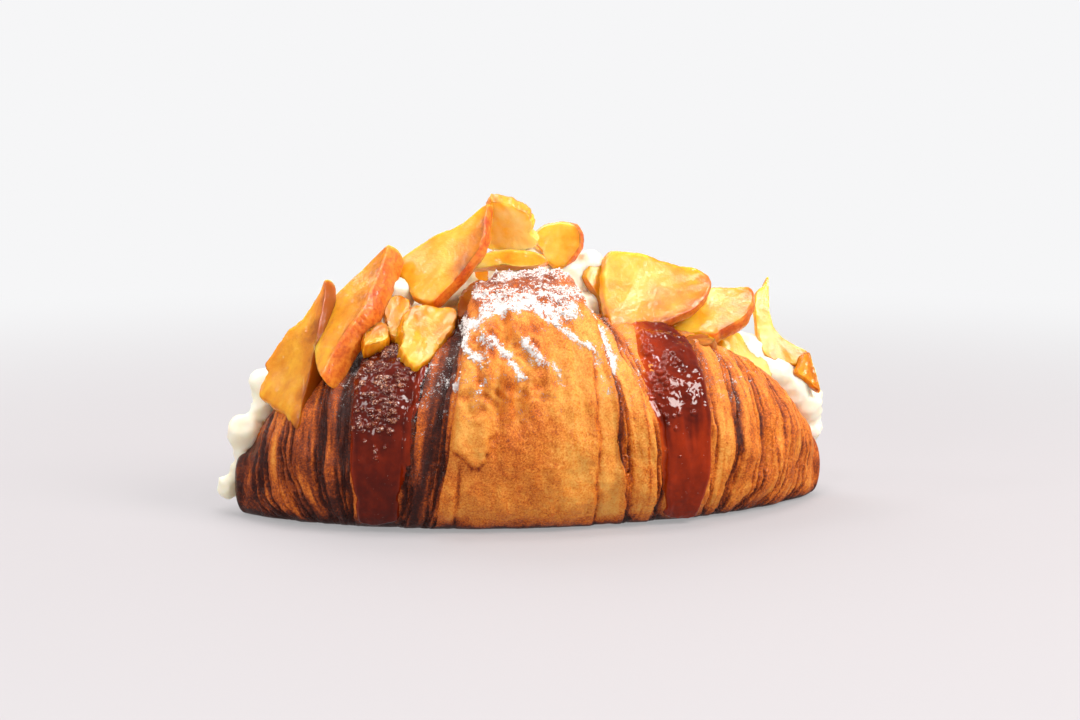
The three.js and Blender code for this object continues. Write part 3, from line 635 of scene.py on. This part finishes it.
def makeCaramel(name, run):
    pick = random.Random(run["seed"])
    across = np.linspace(-1, 1, caramel["across"])[None, :]
    down = np.linspace(0, 1, caramel["down"])[:, None]
    middle, half = (run["from"] + run["to"]) / 2, (run["to"] - run["from"]) / 2
    reach = 1 - run["narrow"] * smooth(0.45, 0.95, down) + 0.06 * wander(down * 6, run["seed"])
    tongue = np.sqrt(np.maximum(0, 1 - across ** 2))
    turn = run["top"] + (run["bottom"] - run["top"]) * down - 0.16 * (1 - tongue) * smooth(0.6, 1, down)
    x = middle + half * across * reach + run["lean"] * (1 - smooth(0, 0.4, down)) * (0.5 - 0.5 * across)
    surface, out = onDough(x, turn)
    for _ in range(6):
        # the coat bridges the roughness under it
        surface[1:-1] = (surface[:-2] + 2 * surface[1:-1] + surface[2:]) / 4
        surface[:, 1:-1] = (surface[:, :-2] + 2 * surface[:, 1:-1] + surface[:, 2:]) / 4
    # thin towards its edges, thick in the bead at its foot, and bubbly at its top
    edge = np.minimum(smooth(0, 0.3, 1 - abs(across)), smooth(0, 0.05, 1 - down)) * smooth(0, 0.04, down)
    thick = caramel["thickness"] * (edge ** 0.5) * (1 + 0.35 * smooth(0.75, 0.95, down))
    thick = thick - caramel["sunk"]
    bubbly = 1 - smooth(0.42, 0.55, down + 0.05 * wander(across * 4, 3))
    flowing = surface * np.array([1, 1, 0.4])
    thick = thick + 0.9 * lumps(flowing, 4.2, run["seed"]) * edge * bubbly
    base = thick.copy()
    nests = [(pick.uniform(-0.8, 0.4), pick.uniform(0.05, 0.46)) for _ in range(caramel["nests"])]
    for _ in range(int(caramel["grains"] * run["rough"])):
        u, v = pick.choice(nests)
        u, v = u + pick.gauss(0, 0.22), v + pick.gauss(0, 0.05)
        size = 0.4 + 0.5 * pick.random() ** 1.5
        distance = np.hypot((across - u) * half, (down - v) * caramel["length"]) / size
        thick = np.maximum(thick, base + size * np.sqrt(np.maximum(0, 1 - distance ** 2)) * edge)
    grained = smooth(0.08, 0.25, thick - base) * run["grained"]
    ripples = 0.18 * lumps(surface, 1.6, 1) + 0.07 * lumps(surface, 0.8, 4)
    thick = thick + (ripples * bubbly + 0.25 * lumps(flowing, 8, 2)) * edge
    points = surface + out * thick[..., None]
    points[..., 2] = np.maximum(points[..., 2], 0.25)
    back = surface - out * caramel["underside"]
    back[..., 2] = np.maximum(back[..., 2], 0.2)
    back[:, [0, -1]] = points[:, [0, -1]]
    deep = run["deep"] + 0.13 + 0.12 * smooth(0.3, 1, down) + 0.4 * smooth(0.95, 1, down) - 0.25 * (1 - edge)
    deep = deep + run["deepTop"] * bubbly
    deep = deep - 0.07 * run["lean"] * (1 - smooth(-1, 0.3, across)) * (1 - smooth(0.15, 0.5, down))
    sugar = grained + 0.33 * run["grained"] * bubbly * smooth(-0.25, 0.3, lumps(surface, 4, 3))
    piece = makeSheet("coat_" + name, wrapped(points, back), {
        "deep": wrapped(deep, deep), "sugar": wrapped(sugar, 0 * sugar)})
    finishPiece(piece, caramelMaterial, "caramel", name)


for name, run in caramel["runs"].items():
    makeCaramel(name, run)
print("caramel made")


# Every piece of apple is a plate. It has a point inside it, the direction of its length, the direction that
# its skin faces, its thickness, how many points of its outline are skin, how amber it is, how red its skin
# is, how torn its edge is, and its outline around that point.
backOutline = [(18, -3), (15, 3.5), (8, 8.5), (0, 10.5), (-8, 8.5), (-15, 3.5), (-18, -3), (-10, -7),
    (0, -8.5), (10, -7)]
fruit = {
    "apple_slice_left_1": {
        "at": (-61.9, 0.2, 45.7), "along": (0.37, 0.19, 0.91), "skin": (0.59, -0.81, -0.08), "thick": 4.6,
        "rind": 6, "ripe": 0.22, "blush": 0, "torn": 1.5,
        "outline": [(19.7, -3.8), (16.2, -1.5), (5.8, 1.6), (-5.2, 4.2), (-14.9, 5.7), (-21.7, 6.9),
            (-18.5, -0.7), (-17.2, -7.4), (-16, -12.8), (-13.2, -13.5), (-9.1, -13.2), (-7, -16.1),
            (-3.1, -14.3), (3, -10.8), (8.8, -6.3), (16.1, -4)]},
    "apple_slice_left_2": {
        "at": (-53.6, 1.8, 52.8), "along": (0.45, 0.47, 0.76), "skin": (0.61, -0.79, 0.12), "thick": 6.8,
        "rind": 9, "ripe": 0.08, "blush": 0.85,
        "outline": [(23.9, 7.1), (18.5, 7.9), (11.7, 9), (5.1, 9.8), (0.5, 9.7), (-3.6, 8.6), (-9.7, 7.5),
            (-14.8, 6.7), (-19.6, 6.4), (-15.6, 1.5), (-7.3, -4.4), (0.1, -6.5), (6.7, -5.6), (10.9, -3.3),
            (15.4, -0.3), (20.2, 3.7)]},
    "apple_slice_left_3": {
        "at": (-20.7, 1.9, 71), "along": (0.73, -0.05, 0.69), "skin": (0.45, -0.72, -0.52), "thick": 4.2,
        "rind": 8, "ripe": 0.05,
        "outline": [(14.6, -5.6), (11, -1.8), (7.9, 1.6), (4.3, 3.9), (0, 4.7), (-5, 5.3), (-9.6, 5.4),
            (-14.1, 5.5), (-16.3, 3.9), (-17.8, -0.6), (-16.9, -6), (-16.3, -10.4), (-13.7, -12.9),
            (-9.5, -12.3), (-5.4, -11.2), (-1.2, -10.3), (2.8, -8), (7.6, -6.4), (11.3, -6.2)]},
    "apple_slice_top": {
        "at": (-6, 10.4, 78.2), "along": (-0.6, -0.27, 0.75), "skin": (0.79, -0.36, 0.5), "thick": 4.2,
        "rind": 5, "ripe": -0.42, "blush": 0.35, "torn": 2.2,
        "outline": [(9.4, -2), (10.5, 0.3), (8.3, 3.1), (4.7, 5.7), (0.7, 6.7), (-2.3, 5.4), (-3.7, 3.5),
            (-7.1, 4), (-8.6, 1.7), (-6.7, -2.4), (-4.2, -6.7), (-1.1, -9), (4.1, -6.5)]},
    "apple_slice_flat": {
        "at": (-9.1, 6.7, 69.7), "along": (1, 0.01, 0.02), "skin": (0.03, -0.27, -0.96), "thick": 7,
        "rind": 2, "ripe": -0.14,
        "outline": [(11, 0.6), (11.5, 2.3), (8.9, 3.3), (3.8, 3.3), (-1.7, 2.8), (-5.8, 3.2), (-8.3, 3.1),
            (-8.5, 1.1), (-7, -0.2), (-3.6, -1.4), (1.4, -1.8), (7.5, -1)]},
    "apple_slice_middle": {
        "at": (7.9, 12.6, 73.9), "along": (0.95, -0.3, 0.13), "skin": (0.06, -0.23, -0.97), "thick": 4.2,
        "rind": 6, "ripe": -0.16,
        "outline": [(4.9, -3.7), (6.1, -1.9), (6.4, 0.4), (5.6, 3.1), (3.7, 5.4), (1.2, 7.9), (-1.6, 7.9),
            (-4.3, 5.9), (-5.3, 2.4), (-7.1, 0), (-7.1, -2.6), (-3.5, -4.4), (0.7, -4.8)]},
    "apple_slice_right_1": {
        "at": (20.6, 7.3, 57.4), "along": (-0.23, 0.34, 0.91), "skin": (-0.96, -0.23, -0.16), "thick": 3.6,
        "rind": 1, "ripe": 0.1,
        "outline": [(-9, 2.1), (-6.3, 3.4), (-1.3, 3.3), (3.2, 4), (7.7, 5.3), (11, 2.7), (10.6, -0.3),
            (6.4, -2), (-0.9, -1.5), (-6.6, -0.2)]},
    "apple_slice_right_2": {
        "at": (31.5, 4.9, 59.8), "along": (0.98, 0.13, 0.12), "skin": (0.17, -0.54, -0.83), "thick": 4.8,
        "rind": 9, "ripe": 0.02, "blush": 0.5,
        "outline": [(17.8, -0.6), (17.3, 2.8), (14, 6.7), (9.7, 9.1), (4.8, 10.4), (-0.6, 11.7),
            (-6.1, 12.3), (-10.9, 11.7), (-14.4, 10.5), (-14.6, 5.2), (-13.7, -0.9), (-11.9, -7),
            (-9.7, -11.7), (-7.4, -13.6), (-2.9, -12.5), (1.6, -10.5), (5.9, -7.8), (10.6, -5.4),
            (15.1, -3.7)]},
    "apple_slice_right_3": {
        "at": (52.3, 6.9, 52.6), "along": (0.9, 0.23, 0.37), "skin": (0.41, -0.72, -0.55), "thick": 4.6,
        "rind": 7, "blush": 0.7,
        "outline": [(12.2, -2.6), (11.8, 0.3), (9.2, 3.6), (5.1, 6.3), (0.8, 7.1), (-4, 7), (-6.9, 7.3),
            (-9.5, 4.3), (-13.2, 1.9), (-15, -1.5), (-13.8, -5.2), (-8.2, -7.4), (-1.6, -9), (3.3, -8),
            (7.5, -5.2)]},
    "apple_slice_twisted": {
        "at": (66.3, 13.2, 45.4), "along": (-0.27, 0.39, 0.88), "skin": (0.95, 0.26, 0.18), "thick": 2,
        "rind": 1, "ripe": -0.1,
        "outline": [(-8.3, 12.2), (-10.9, 7.4), (-8.8, 1.8), (-5.9, -1), (-1.2, -1.4), (4.6, 0.4), (9, 1.6),
            (12.6, 3.7), (14.1, 6.7), (16.3, 9.3), (10.8, 7), (5.6, 5.2), (0.6, 5.1), (-3, 7), (-5.9, 9.8)]},
    "apple_slice_end": {
        "at": (79.9, 10.3, 35.4), "along": (-0.3, 0.22, 0.93), "skin": (0.89, 0.41, 0.19), "thick": 2.4,
        "rind": 4, "ripe": 0.2,
        "outline": [(5, 1.9), (1.8, 1.6), (-2.1, 1.4), (-6.8, 0.8), (-4.4, -1.2), (-1.5, -2.9), (0.6, -5.1),
            (3.3, -2.7), (5, -0.4)]},
    "apple_slab_right": {
        "at": (60.4, 8.9, 40.5), "along": (-0.68, 0.16, 0.72), "skin": (0.63, 0.63, 0.45), "thick": 3.2,
        "rind": 1, "ripe": -0.35,
        "outline": [(6, 3.3), (2.4, 2.3), (-1.7, 3), (-6.2, 3.7), (-9.5, 1.7), (-10.1, -3.1), (-8.3, -6.8),
            (-4.8, -6.3), (-1.1, -5), (2.9, -4.6), (6.6, -5.8), (8.2, -3.3)]},
    "apple_chunk_front": {
        "at": (-32.5, -7.8, 49.3), "along": (0.45, 0.68, 0.58), "skin": (-0.89, 0.31, 0.33), "thick": 8,
        "rind": 0, "ripe": 0.08,
        "outline": [(11.2, -3.7), (8.4, -5.3), (3.1, -5.9), (-1.4, -5.6), (-5.7, -5), (-9.6, -4.2),
            (-13.7, -1.6), (-11.5, 1.6), (-9, 4.3), (-5.7, 4.8), (-1.7, 7), (3, 8), (6.6, 6.5), (8.1, 3.9),
            (9.3, 0)]},
    "apple_chunk_small_1": {
        "at": (-39.9, -2.2, 52.8), "along": (0.09, 0.75, 0.66), "skin": (0.99, -0.14, 0.02), "thick": 5,
        "rind": 0, "ripe": 0.12,
        "outline": [(7.6, -2), (9, 1), (6.7, 3.7), (1.2, 4.5), (-4.2, 2.7), (-6.7, 1.3), (-5.9, -1.1),
            (-1.9, -2.4), (3.3, -3)]},
    "apple_chunk_small_2": {
        "at": (-45.8, -5.8, 49.5), "along": (0.55, 0.67, 0.5), "skin": (-0.84, 0.42, 0.35), "thick": 5,
        "rind": 0, "ripe": 0.16,
        "outline": [(1.9, 2.5), (4.9, 1.4), (4.1, -1.7), (0.9, -3.8), (-2.5, -2.6), (-6, 0.1), (-2.9, 2.3)]},
    "apple_chunk_skin": {
        "at": (-20.1, 1.1, 57.4), "along": (0.45, 0.58, 0.68), "skin": (-0.84, 0.54, 0.09), "thick": 4,
        "rind": 0, "ripe": 0.5,
        "outline": [(-0.9, 1.8), (2.7, 2), (5.5, 0.7), (7.7, -1.4), (5.8, -3.1), (2, -2.2), (-1.6, -2.4),
            (-5.3, -2.1), (-6.3, -0.4)]},
    "apple_chunk_under_right": {
        "at": (41.1, -8.2, 45), "along": (0.85, 0.48, 0.2), "skin": (-0.52, 0.82, 0.23), "thick": 4.5,
        "rind": 0, "ripe": 0.55,
        "outline": [(-2, 2.7), (3, 4.2), (6.6, 2), (7, -1.9), (3.5, -3.8), (0.1, -2.6), (-2.8, -1.7),
            (-3.8, 0)]},
    "apple_slice_back_1": {
        "at": (-38, 23, 55), "along": (0.85, -0.1, 0.42), "skin": (-0.35, 0.45, 0.85), "thick": 4.2,
        "rind": 7, "outline": backOutline},
    "apple_slice_back_2": {
        "at": (0, 24, 63), "along": (0.97, 0.05, 0.1), "skin": (-0.1, 0.4, 0.9), "thick": 4.2, "rind": 7,
        "outline": backOutline},
    "apple_slice_back_3": {
        "at": (37, 24, 53), "along": (0.9, -0.1, -0.35), "skin": (0.3, 0.45, 0.83), "thick": 4.2, "rind": 7,
        "outline": backOutline},
}


def turned(points, piece):
    # from a piece's own axes to its place on the croissant
    length = Vector(piece["along"]).normalized()
    face = length.cross(Vector(piece["skin"])).normalized()
    axes = np.array([length, face.cross(length), face])
    return points @ axes + np.array(piece["at"]) - np.array([0, dough["undersideMiddle"], 0])


def rounded(corners, count):
    # a closed outline through the corners, cut a little at each, with how far round every point is in corners
    t = np.linspace(0, len(corners), count + 1)
    i = np.floor(t).astype(int) % len(corners)
    f = (t - np.floor(t))[:, None]
    p = [corners[(i + k) % len(corners)] for k in (-1, 0, 1, 2)]
    curve = 0.5 * (2 * p[1] + (p[2] - p[0]) * f + (2 * p[0] - 5 * p[1] + 4 * p[2] - p[3]) * f ** 2
                   + (3 * p[1] - p[0] - 3 * p[2] + p[3]) * f ** 3)
    straight = p[1] + (p[2] - p[1]) * f
    return 0.55 * curve + 0.45 * straight, t


def makeFruit(name, piece, seed):
    around = 200
    rim, t = rounded(np.array(piece["outline"]), around)
    thick, rind, count = piece["thick"], piece["rind"], len(piece["outline"])
    torn = piece.get("torn", 2.4 if rind == 0 else 1.0)
    size = np.hypot(rim[:, 0], rim[:, 1])
    place = joined(rim[:, 0], rim[:, 1], seed)
    jag = torn * (0.22 * lumps(place, 2.2, seed) + 0.14 * lumps(place, 0.8, seed))
    rim = rim * (1 + jag / np.maximum(size, 2))[:, None]
    rim[-1] = rim[0]
    # rings from the middle of one face, out to the rim, over it, and back in to the middle of the other face,
    # each with its height, how far out it is, and whether it is on the side
    distance = np.maximum(np.hypot(rim[:, 0], rim[:, 1]), 1)[:, None]
    inwards = [0.0, 0.12, 0.25, 0.38, 0.5, 0.6, 0.7, 0.78, 0.85, 0.9, 0.94]
    cornerRound = min(0.7, thick * 0.2)
    corner = [(cornerRound * (1 - math.sin(a)), 0.5 * thick - cornerRound * (1 - math.cos(a)))
              for a in np.linspace(0.3, math.pi / 2, 4)]
    sides = corner + [(-0.10 * thick * k, z * thick) for k, z in ((0.6, 0.22), (1, 0), (0.6, -0.22))]
    sides += [(inset, -z) for inset, z in corner[::-1]]
    rings = [(rim * share, 0.5, share, 0) for share in inwards]
    rings += [(rim * (1 - inset / distance), z / thick, 1.0, 1) for inset, z in sides]
    rings += [(rim * share, -0.5, share, 0) for share in inwards[::-1]]
    flat = np.stack([ring[0] for ring in rings])
    level, edgeShare, isSide = (
        np.array(values)[:, None] + 0 * flat[..., 0] for values in list(zip(*rings))[1:])
    plain = joined(flat[..., 0], flat[..., 1], level * thick * (1 + 0.012 * flat[..., 1]))
    # it waves a little, and its cut faces and torn sides are rough away from the middle
    wave = 0.9 * lumps(plain * np.array([1, 1, 0.1]), 13, seed + 2) * smooth(6, 16, np.ptp(rim[:, 0]))
    fine = 0.25 * lumps(plain * np.array([0.5, 1.2, 0.3]), 3.2, seed + 3) + 0.06 * lumps(plain, 1.3, seed + 4)
    fine = torn * fine * smooth(0.25, 0.7, edgeShare)
    own = plain.copy()
    own[..., 2] += wave + fine * np.sign(level) * (1 - isSide)
    fromMiddle = np.maximum(np.linalg.norm(flat, axis=-1, keepdims=True), 1)
    own[..., :2] += (fine * isSide)[..., None] * flat / fromMiddle
    # where the rind is: along the first corners of the outline, on the rim and just over its two edges
    onRind = 0 * t
    if rind > 1:
        onRind = smooth(-0.35, 0.0, t) * (1 - smooth(rind - 1, rind - 0.6, t))
        onRind = np.maximum(onRind, smooth(count - 0.35, count, t))
    outer = rim[onRind > 0.5].mean(axis=0) if rind > 1 else rim[0]
    onRind = onRind[None, :]
    skin = np.maximum(isSide, smooth(0.97, 1.0, edgeShare)) * onRind * piece.get("blush", 1)
    wandering = 0.5 + 0.5 * lumps(plain, 3.5, seed + 5)
    streaks = lumps(own * np.array([0.22, 1, 1]), 2.4, seed + 6) + lumps(own, 9, seed + 7)
    across = (flat @ outer) / (outer @ outer)
    atEdge = smooth(0.7, 0.99, edgeShare) * (0.3 + 0.7 * onRind) * (0.6 + 0.6 * wandering)
    amber = 0.2 + piece.get("ripe", 0) + 0.14 * np.clip(across, -1, 1) + 0.09 * streaks
    amber = amber + 0.18 * atEdge + 0.12 * isSide
    brown = smooth(0.94, 1, edgeShare) * (1 - onRind) * smooth(0.62, 0.8, wandering) * 0.15
    sheet = makeSheet("fruit_" + name, turned(own, piece), {
        "skin": skin, "amber": amber, "brown": np.clip(brown, 0, 1)})
    finishPiece(sheet, appleMaterial, "poached_apple", name)


for seed, (name, piece) in enumerate(fruit.items()):
    makeFruit(name, piece, seed + 1)
print("fruit made")


# The cream: a body in the slit, and lobes squeezed out of it, each a place and a radius
cream = {
    "dome": 6, "voxel": 0.9, "columns": 90, "rows": 48, "reach": 79, "overFloor": 0.6, "overFoot": 0.5,
    "lobes": [
        ((-73.8, 16, 34.4), 4.9), ((-75.5, 14, 28), 3.4), ((-79.6, 13.5, 22), 5), ((-80.2, 13, 16), 2.8),
        ((-82, 13, 11), 2.5), ((-84.9, 14, 6.8), 3.4), ((-38.4, 7, 60), 4.4), ((16.2, 13, 66.4), 4.2),
        ((-52, 14, 45), 7), ((-22, 14, 59), 8), ((-3, 16, 64), 9), ((11, 16, 62), 8), ((36, 14, 54), 7),
        ((61.5, 15, 39), 7), ((69.5, 16, 34.5), 8.4), ((75, 16, 30.5), 8), ((80, 16, 25), 6.6),
        ((81.8, 16, 18), 4.6)],
}


def makeCream():
    x = np.linspace(-cream["reach"], cream["reach"], cream["columns"])[None, :]
    t = np.linspace(0, 2 * math.pi, cream["rows"])[:, None]
    lipFront, width, slitFloor = slit(x)
    bottom = slitFloor + cream["overFloor"]
    top = shoulder(x) + cream["dome"]
    up = 0.5 - 0.5 * np.cos(t)
    across = 0.5 + 0.5 * np.sign(np.sin(t)) * abs(np.sin(t)) ** 0.7 * (0.55 + 0.45 * smooth(0, 0.6, up))
    body = placed(x, lipFront + across * width, bottom + (top - bottom) * up)
    body[-1] = body[0]
    ends = [np.repeat(end.mean(axis=0, keepdims=True), len(t), 0) for end in (body[:, :1], body[:, -1:])]
    body = makeSheet("creamBody", np.concatenate([ends[0], body, ends[1]], axis=1), {})
    parts = [body]
    for (lobeX, lobeY, lobeZ), radius in cream["lobes"]:
        bpy.ops.mesh.primitive_uv_sphere_add(
            segments=32, ring_count=20, radius=radius * mm,
            location=(lobeX * mm, (lobeY - dough["undersideMiddle"]) * mm, lobeZ * mm))
        parts.append(bpy.context.object)
    for part in parts:
        part.select_set(True)
    bpy.context.view_layer.objects.active = body
    bpy.ops.object.join()
    piece = bpy.context.object
    piece.name = piece.data.name = "creamFilling"
    bpy.ops.object.transform_apply()
    remesh = piece.modifiers.new("fuse", "REMESH")
    remesh.mode, remesh.voxel_size = "VOXEL", cream["voxel"] * mm
    bpy.ops.object.modifier_apply(modifier=remesh.name)
    soften = piece.modifiers.new("soften", "SMOOTH")
    soften.factor, soften.iterations = 0.5, 4
    bpy.ops.object.modifier_apply(modifier=soften.name)
    points, out = readPoints(piece.data.vertices) / mm, readPoints(piece.data.vertices, "normal")
    folds = points * np.array([1, 1, 1.7])
    push = 1.3 * lumps(points, 9, 3) + 1.3 * (0.5 - abs(lumps(folds, 5, 4))) + 0.3 * lumps(points, 1.8, 5)
    points = points + out * push[:, None]
    points[:, 2] = np.maximum(points[:, 2], cream["overFoot"])
    piece.data.vertices.foreach_set("co", (points * mm).ravel())
    piece.data.update()
    bpy.ops.object.shade_smooth()
    finishPiece(piece, creamMaterial, "whipped_cream", "cream_filling")


makeCream()
print("cream made")


# Clumps of powdered sugar on the outer fold
clumps = {"count": 1500, "smallest": 0.12, "largest": 0.34}


def makeClumps():
    pick = random.Random(21)
    weight = (doughSugar[:-1] > 0.45) * doughSugar[:-1]
    places = np.argwhere(weight > 0)
    chosen = [places[pick.randrange(len(places))] for _ in range(clumps["count"])]
    bpy.ops.mesh.primitive_ico_sphere_add(subdivisions=1, radius=1)
    grain = bpy.context.object
    shape = np.array([v.co for v in grain.data.vertices])
    faces = [tuple(p.vertices) for p in grain.data.polygons]
    bpy.data.objects.remove(grain)
    corners, polygons = [], []
    for row, column in chosen:
        size = pick.uniform(clumps["smallest"], clumps["largest"])
        stretch = np.array([pick.uniform(0.7, 1.3) for _ in range(3)])
        centre = doughPoints[row, column] + doughOut[row, column] * size * 0.5
        start = len(corners)
        corners.extend((centre + shape * size * stretch) * mm)
        polygons.extend(tuple(start + i for i in face) for face in faces)
    mesh = bpy.data.meshes.new("sugarClumps")
    mesh.from_pydata([tuple(c) for c in corners], [], polygons)
    piece = bpy.data.objects.new("sugarClumps", mesh)
    bpy.context.collection.objects.link(piece)
    finishPiece(piece, sugarMaterial, "powdered_sugar")


makeClumps()
print("sugar made")


# The studio: floor, sky, soft lights and camera. A light is a place in metres, a width, a power and a colour.
studio = {
    "floorRadius": 4.0, "floorDrop": -0.0002, "lens": 70, "azimuth": -10, "elevation": 8, "distance": 0.577,
    "aim": (0, -8, 42), "floorColour": "#a69fa2", "backColour": "#f6f6f7", "glow": 0.35,
    "mirroredFloor": (0.3, 0.28, 0.28, 1), "skyColour": (1, 0.985, 0.97, 1), "mirroredSky": 0.34,
    "lightsAimAt": (0, 0, 0.04),
    "lights": {
        "keySoftbox": ((0.55, -0.45, 0.6), 0.36, 7.0, (1, 0.97, 0.93)),
        "glintLeft": ((-0.3, -0.5, 0.78), 0.1, 1.1, (1, 1, 1)),
        "glintRight": ((0.24, -0.5, 0.8), 0.1, 1.0, (1, 1, 1)),
        "glintSide": ((-0.76, -0.06, 0.58), 0.12, 1.2, (1, 1, 1)),
        "glintTop": ((0.1, -0.02, 0.93), 0.08, 0.4, (1, 1, 1)),
        "backSoftbox": ((-0.2, 0.65, 0.75), 0.6, 4, (1, 1, 1)),
        "topSoftbox": ((0.02, -0.05, 0.95), 0.3, 3.0, (1, 0.99, 0.97)),
        "leftFill": ((-0.6, -0.6, 0.35), 0.2, 1.2, (1, 0.98, 0.96))},
}


def makeFloor():
    # it brightens with distance into the plain background, and mirrors darker than it looks
    bpy.ops.mesh.primitive_circle_add(
        vertices=96, radius=studio["floorRadius"], fill_type="NGON", location=(0, 0, studio["floorDrop"]))
    floor = bpy.context.object
    floor.name = floor.data.name = "studioFloor"
    bpy.ops.object.transform_apply()
    material, shader = newMaterial("paleFloor")
    setInputs(shader, {
        "Base Color": fromHex(studio["floorColour"]), "Roughness": 0.7, "Specular IOR Level": 0.2})
    place = addNode(material, "TexCoord", {}, "Object")
    distance = addNode(material, "VectorMath", {0: place}, "Value", operation="LENGTH")
    fade = addNode(material, "MapRange", {
        "Value": distance, "From Min": 0.1, "From Max": 0.6, "To Min": studio["glow"]},
        interpolation_type="SMOOTHSTEP")
    glow = addNode(material, "Emission", {"Color": fromHex(studio["backColour"]), "Strength": 1.0})
    blend = addNode(material, "MixShader", {0: fade, 1: shader.outputs["BSDF"], 2: glow})
    dim = addNode(material, "Emission", {"Color": studio["mirroredFloor"], "Strength": 1.0})
    glossy = addNode(material, "LightPath", {}, "Is Glossy Ray")
    mirrored = addNode(material, "MixShader", {0: glossy, 1: blend, 2: dim})
    setInputs(material.node_tree.nodes["Material Output"], {"Surface": mirrored})
    floor.data.materials.append(material)
    floor.select_set(False)


def makeWorld():
    # a soft sky, brighter behind the croissant, that is plain to the camera and dim in what mirrors it
    world = bpy.data.worlds.new("studioWorld")
    bpy.context.scene.world = world
    world.use_nodes = True
    world.node_tree.nodes.clear()
    seen = addNode(world, "Background", {"Color": fromHex(studio["backColour"]), "Strength": 1.0})
    direction = addNode(world, "TexCoord", {}, "Generated")
    depth = addNode(world, "SeparateXYZ", {"Vector": direction}, "Y")
    behind = addNode(world, "MapRange", {
        "Value": depth, "From Min": -0.6, "From Max": 0.8, "To Min": 0.16, "To Max": 1.2})
    lit = addNode(world, "Background", {"Color": studio["skyColour"], "Strength": behind})
    dim = addNode(world, "Background", {"Color": studio["skyColour"], "Strength": studio["mirroredSky"]})
    glossy = addNode(world, "LightPath", {}, "Is Glossy Ray")
    mirrored = addNode(world, "MixShader", {0: glossy, 1: lit, 2: dim})
    looking = addNode(world, "LightPath", {}, "Is Camera Ray")
    blend = addNode(world, "MixShader", {0: looking, 1: mirrored, 2: seen})
    setInputs(world.node_tree.nodes.new("ShaderNodeOutputWorld"), {"Surface": blend})


def makeLights():
    for name, (place, size, power, colour) in studio["lights"].items():
        light = bpy.data.lights.new(name, "AREA")
        light.shape, light.size, light.energy, light.color = "SQUARE", size, power, colour
        lamp = bpy.data.objects.new(name, light)
        lamp.location = place
        away = Vector(studio["lightsAimAt"]) - lamp.location
        lamp.rotation_euler = away.to_track_quat("-Z", "Y").to_euler()
        bpy.context.collection.objects.link(lamp)


def makeCamera():
    camera = bpy.data.objects.new("camera", bpy.data.cameras.new("camera"))
    azimuth, elevation = math.radians(studio["azimuth"]), math.radians(studio["elevation"])
    level = math.cos(elevation)
    back = Vector((math.sin(azimuth) * level, -math.cos(azimuth) * level, math.sin(elevation)))
    camera.location = Vector(studio["aim"]) * mm + back * studio["distance"]
    camera.rotation_euler = (-back).to_track_quat("-Z", "Y").to_euler()
    camera.data.lens = studio["lens"]
    bpy.context.collection.objects.link(camera)
    bpy.context.scene.camera = camera
    bpy.context.scene.view_settings.view_transform = "Standard"


makeFloor()
makeWorld()
makeLights()
makeCamera()
print("studio made")
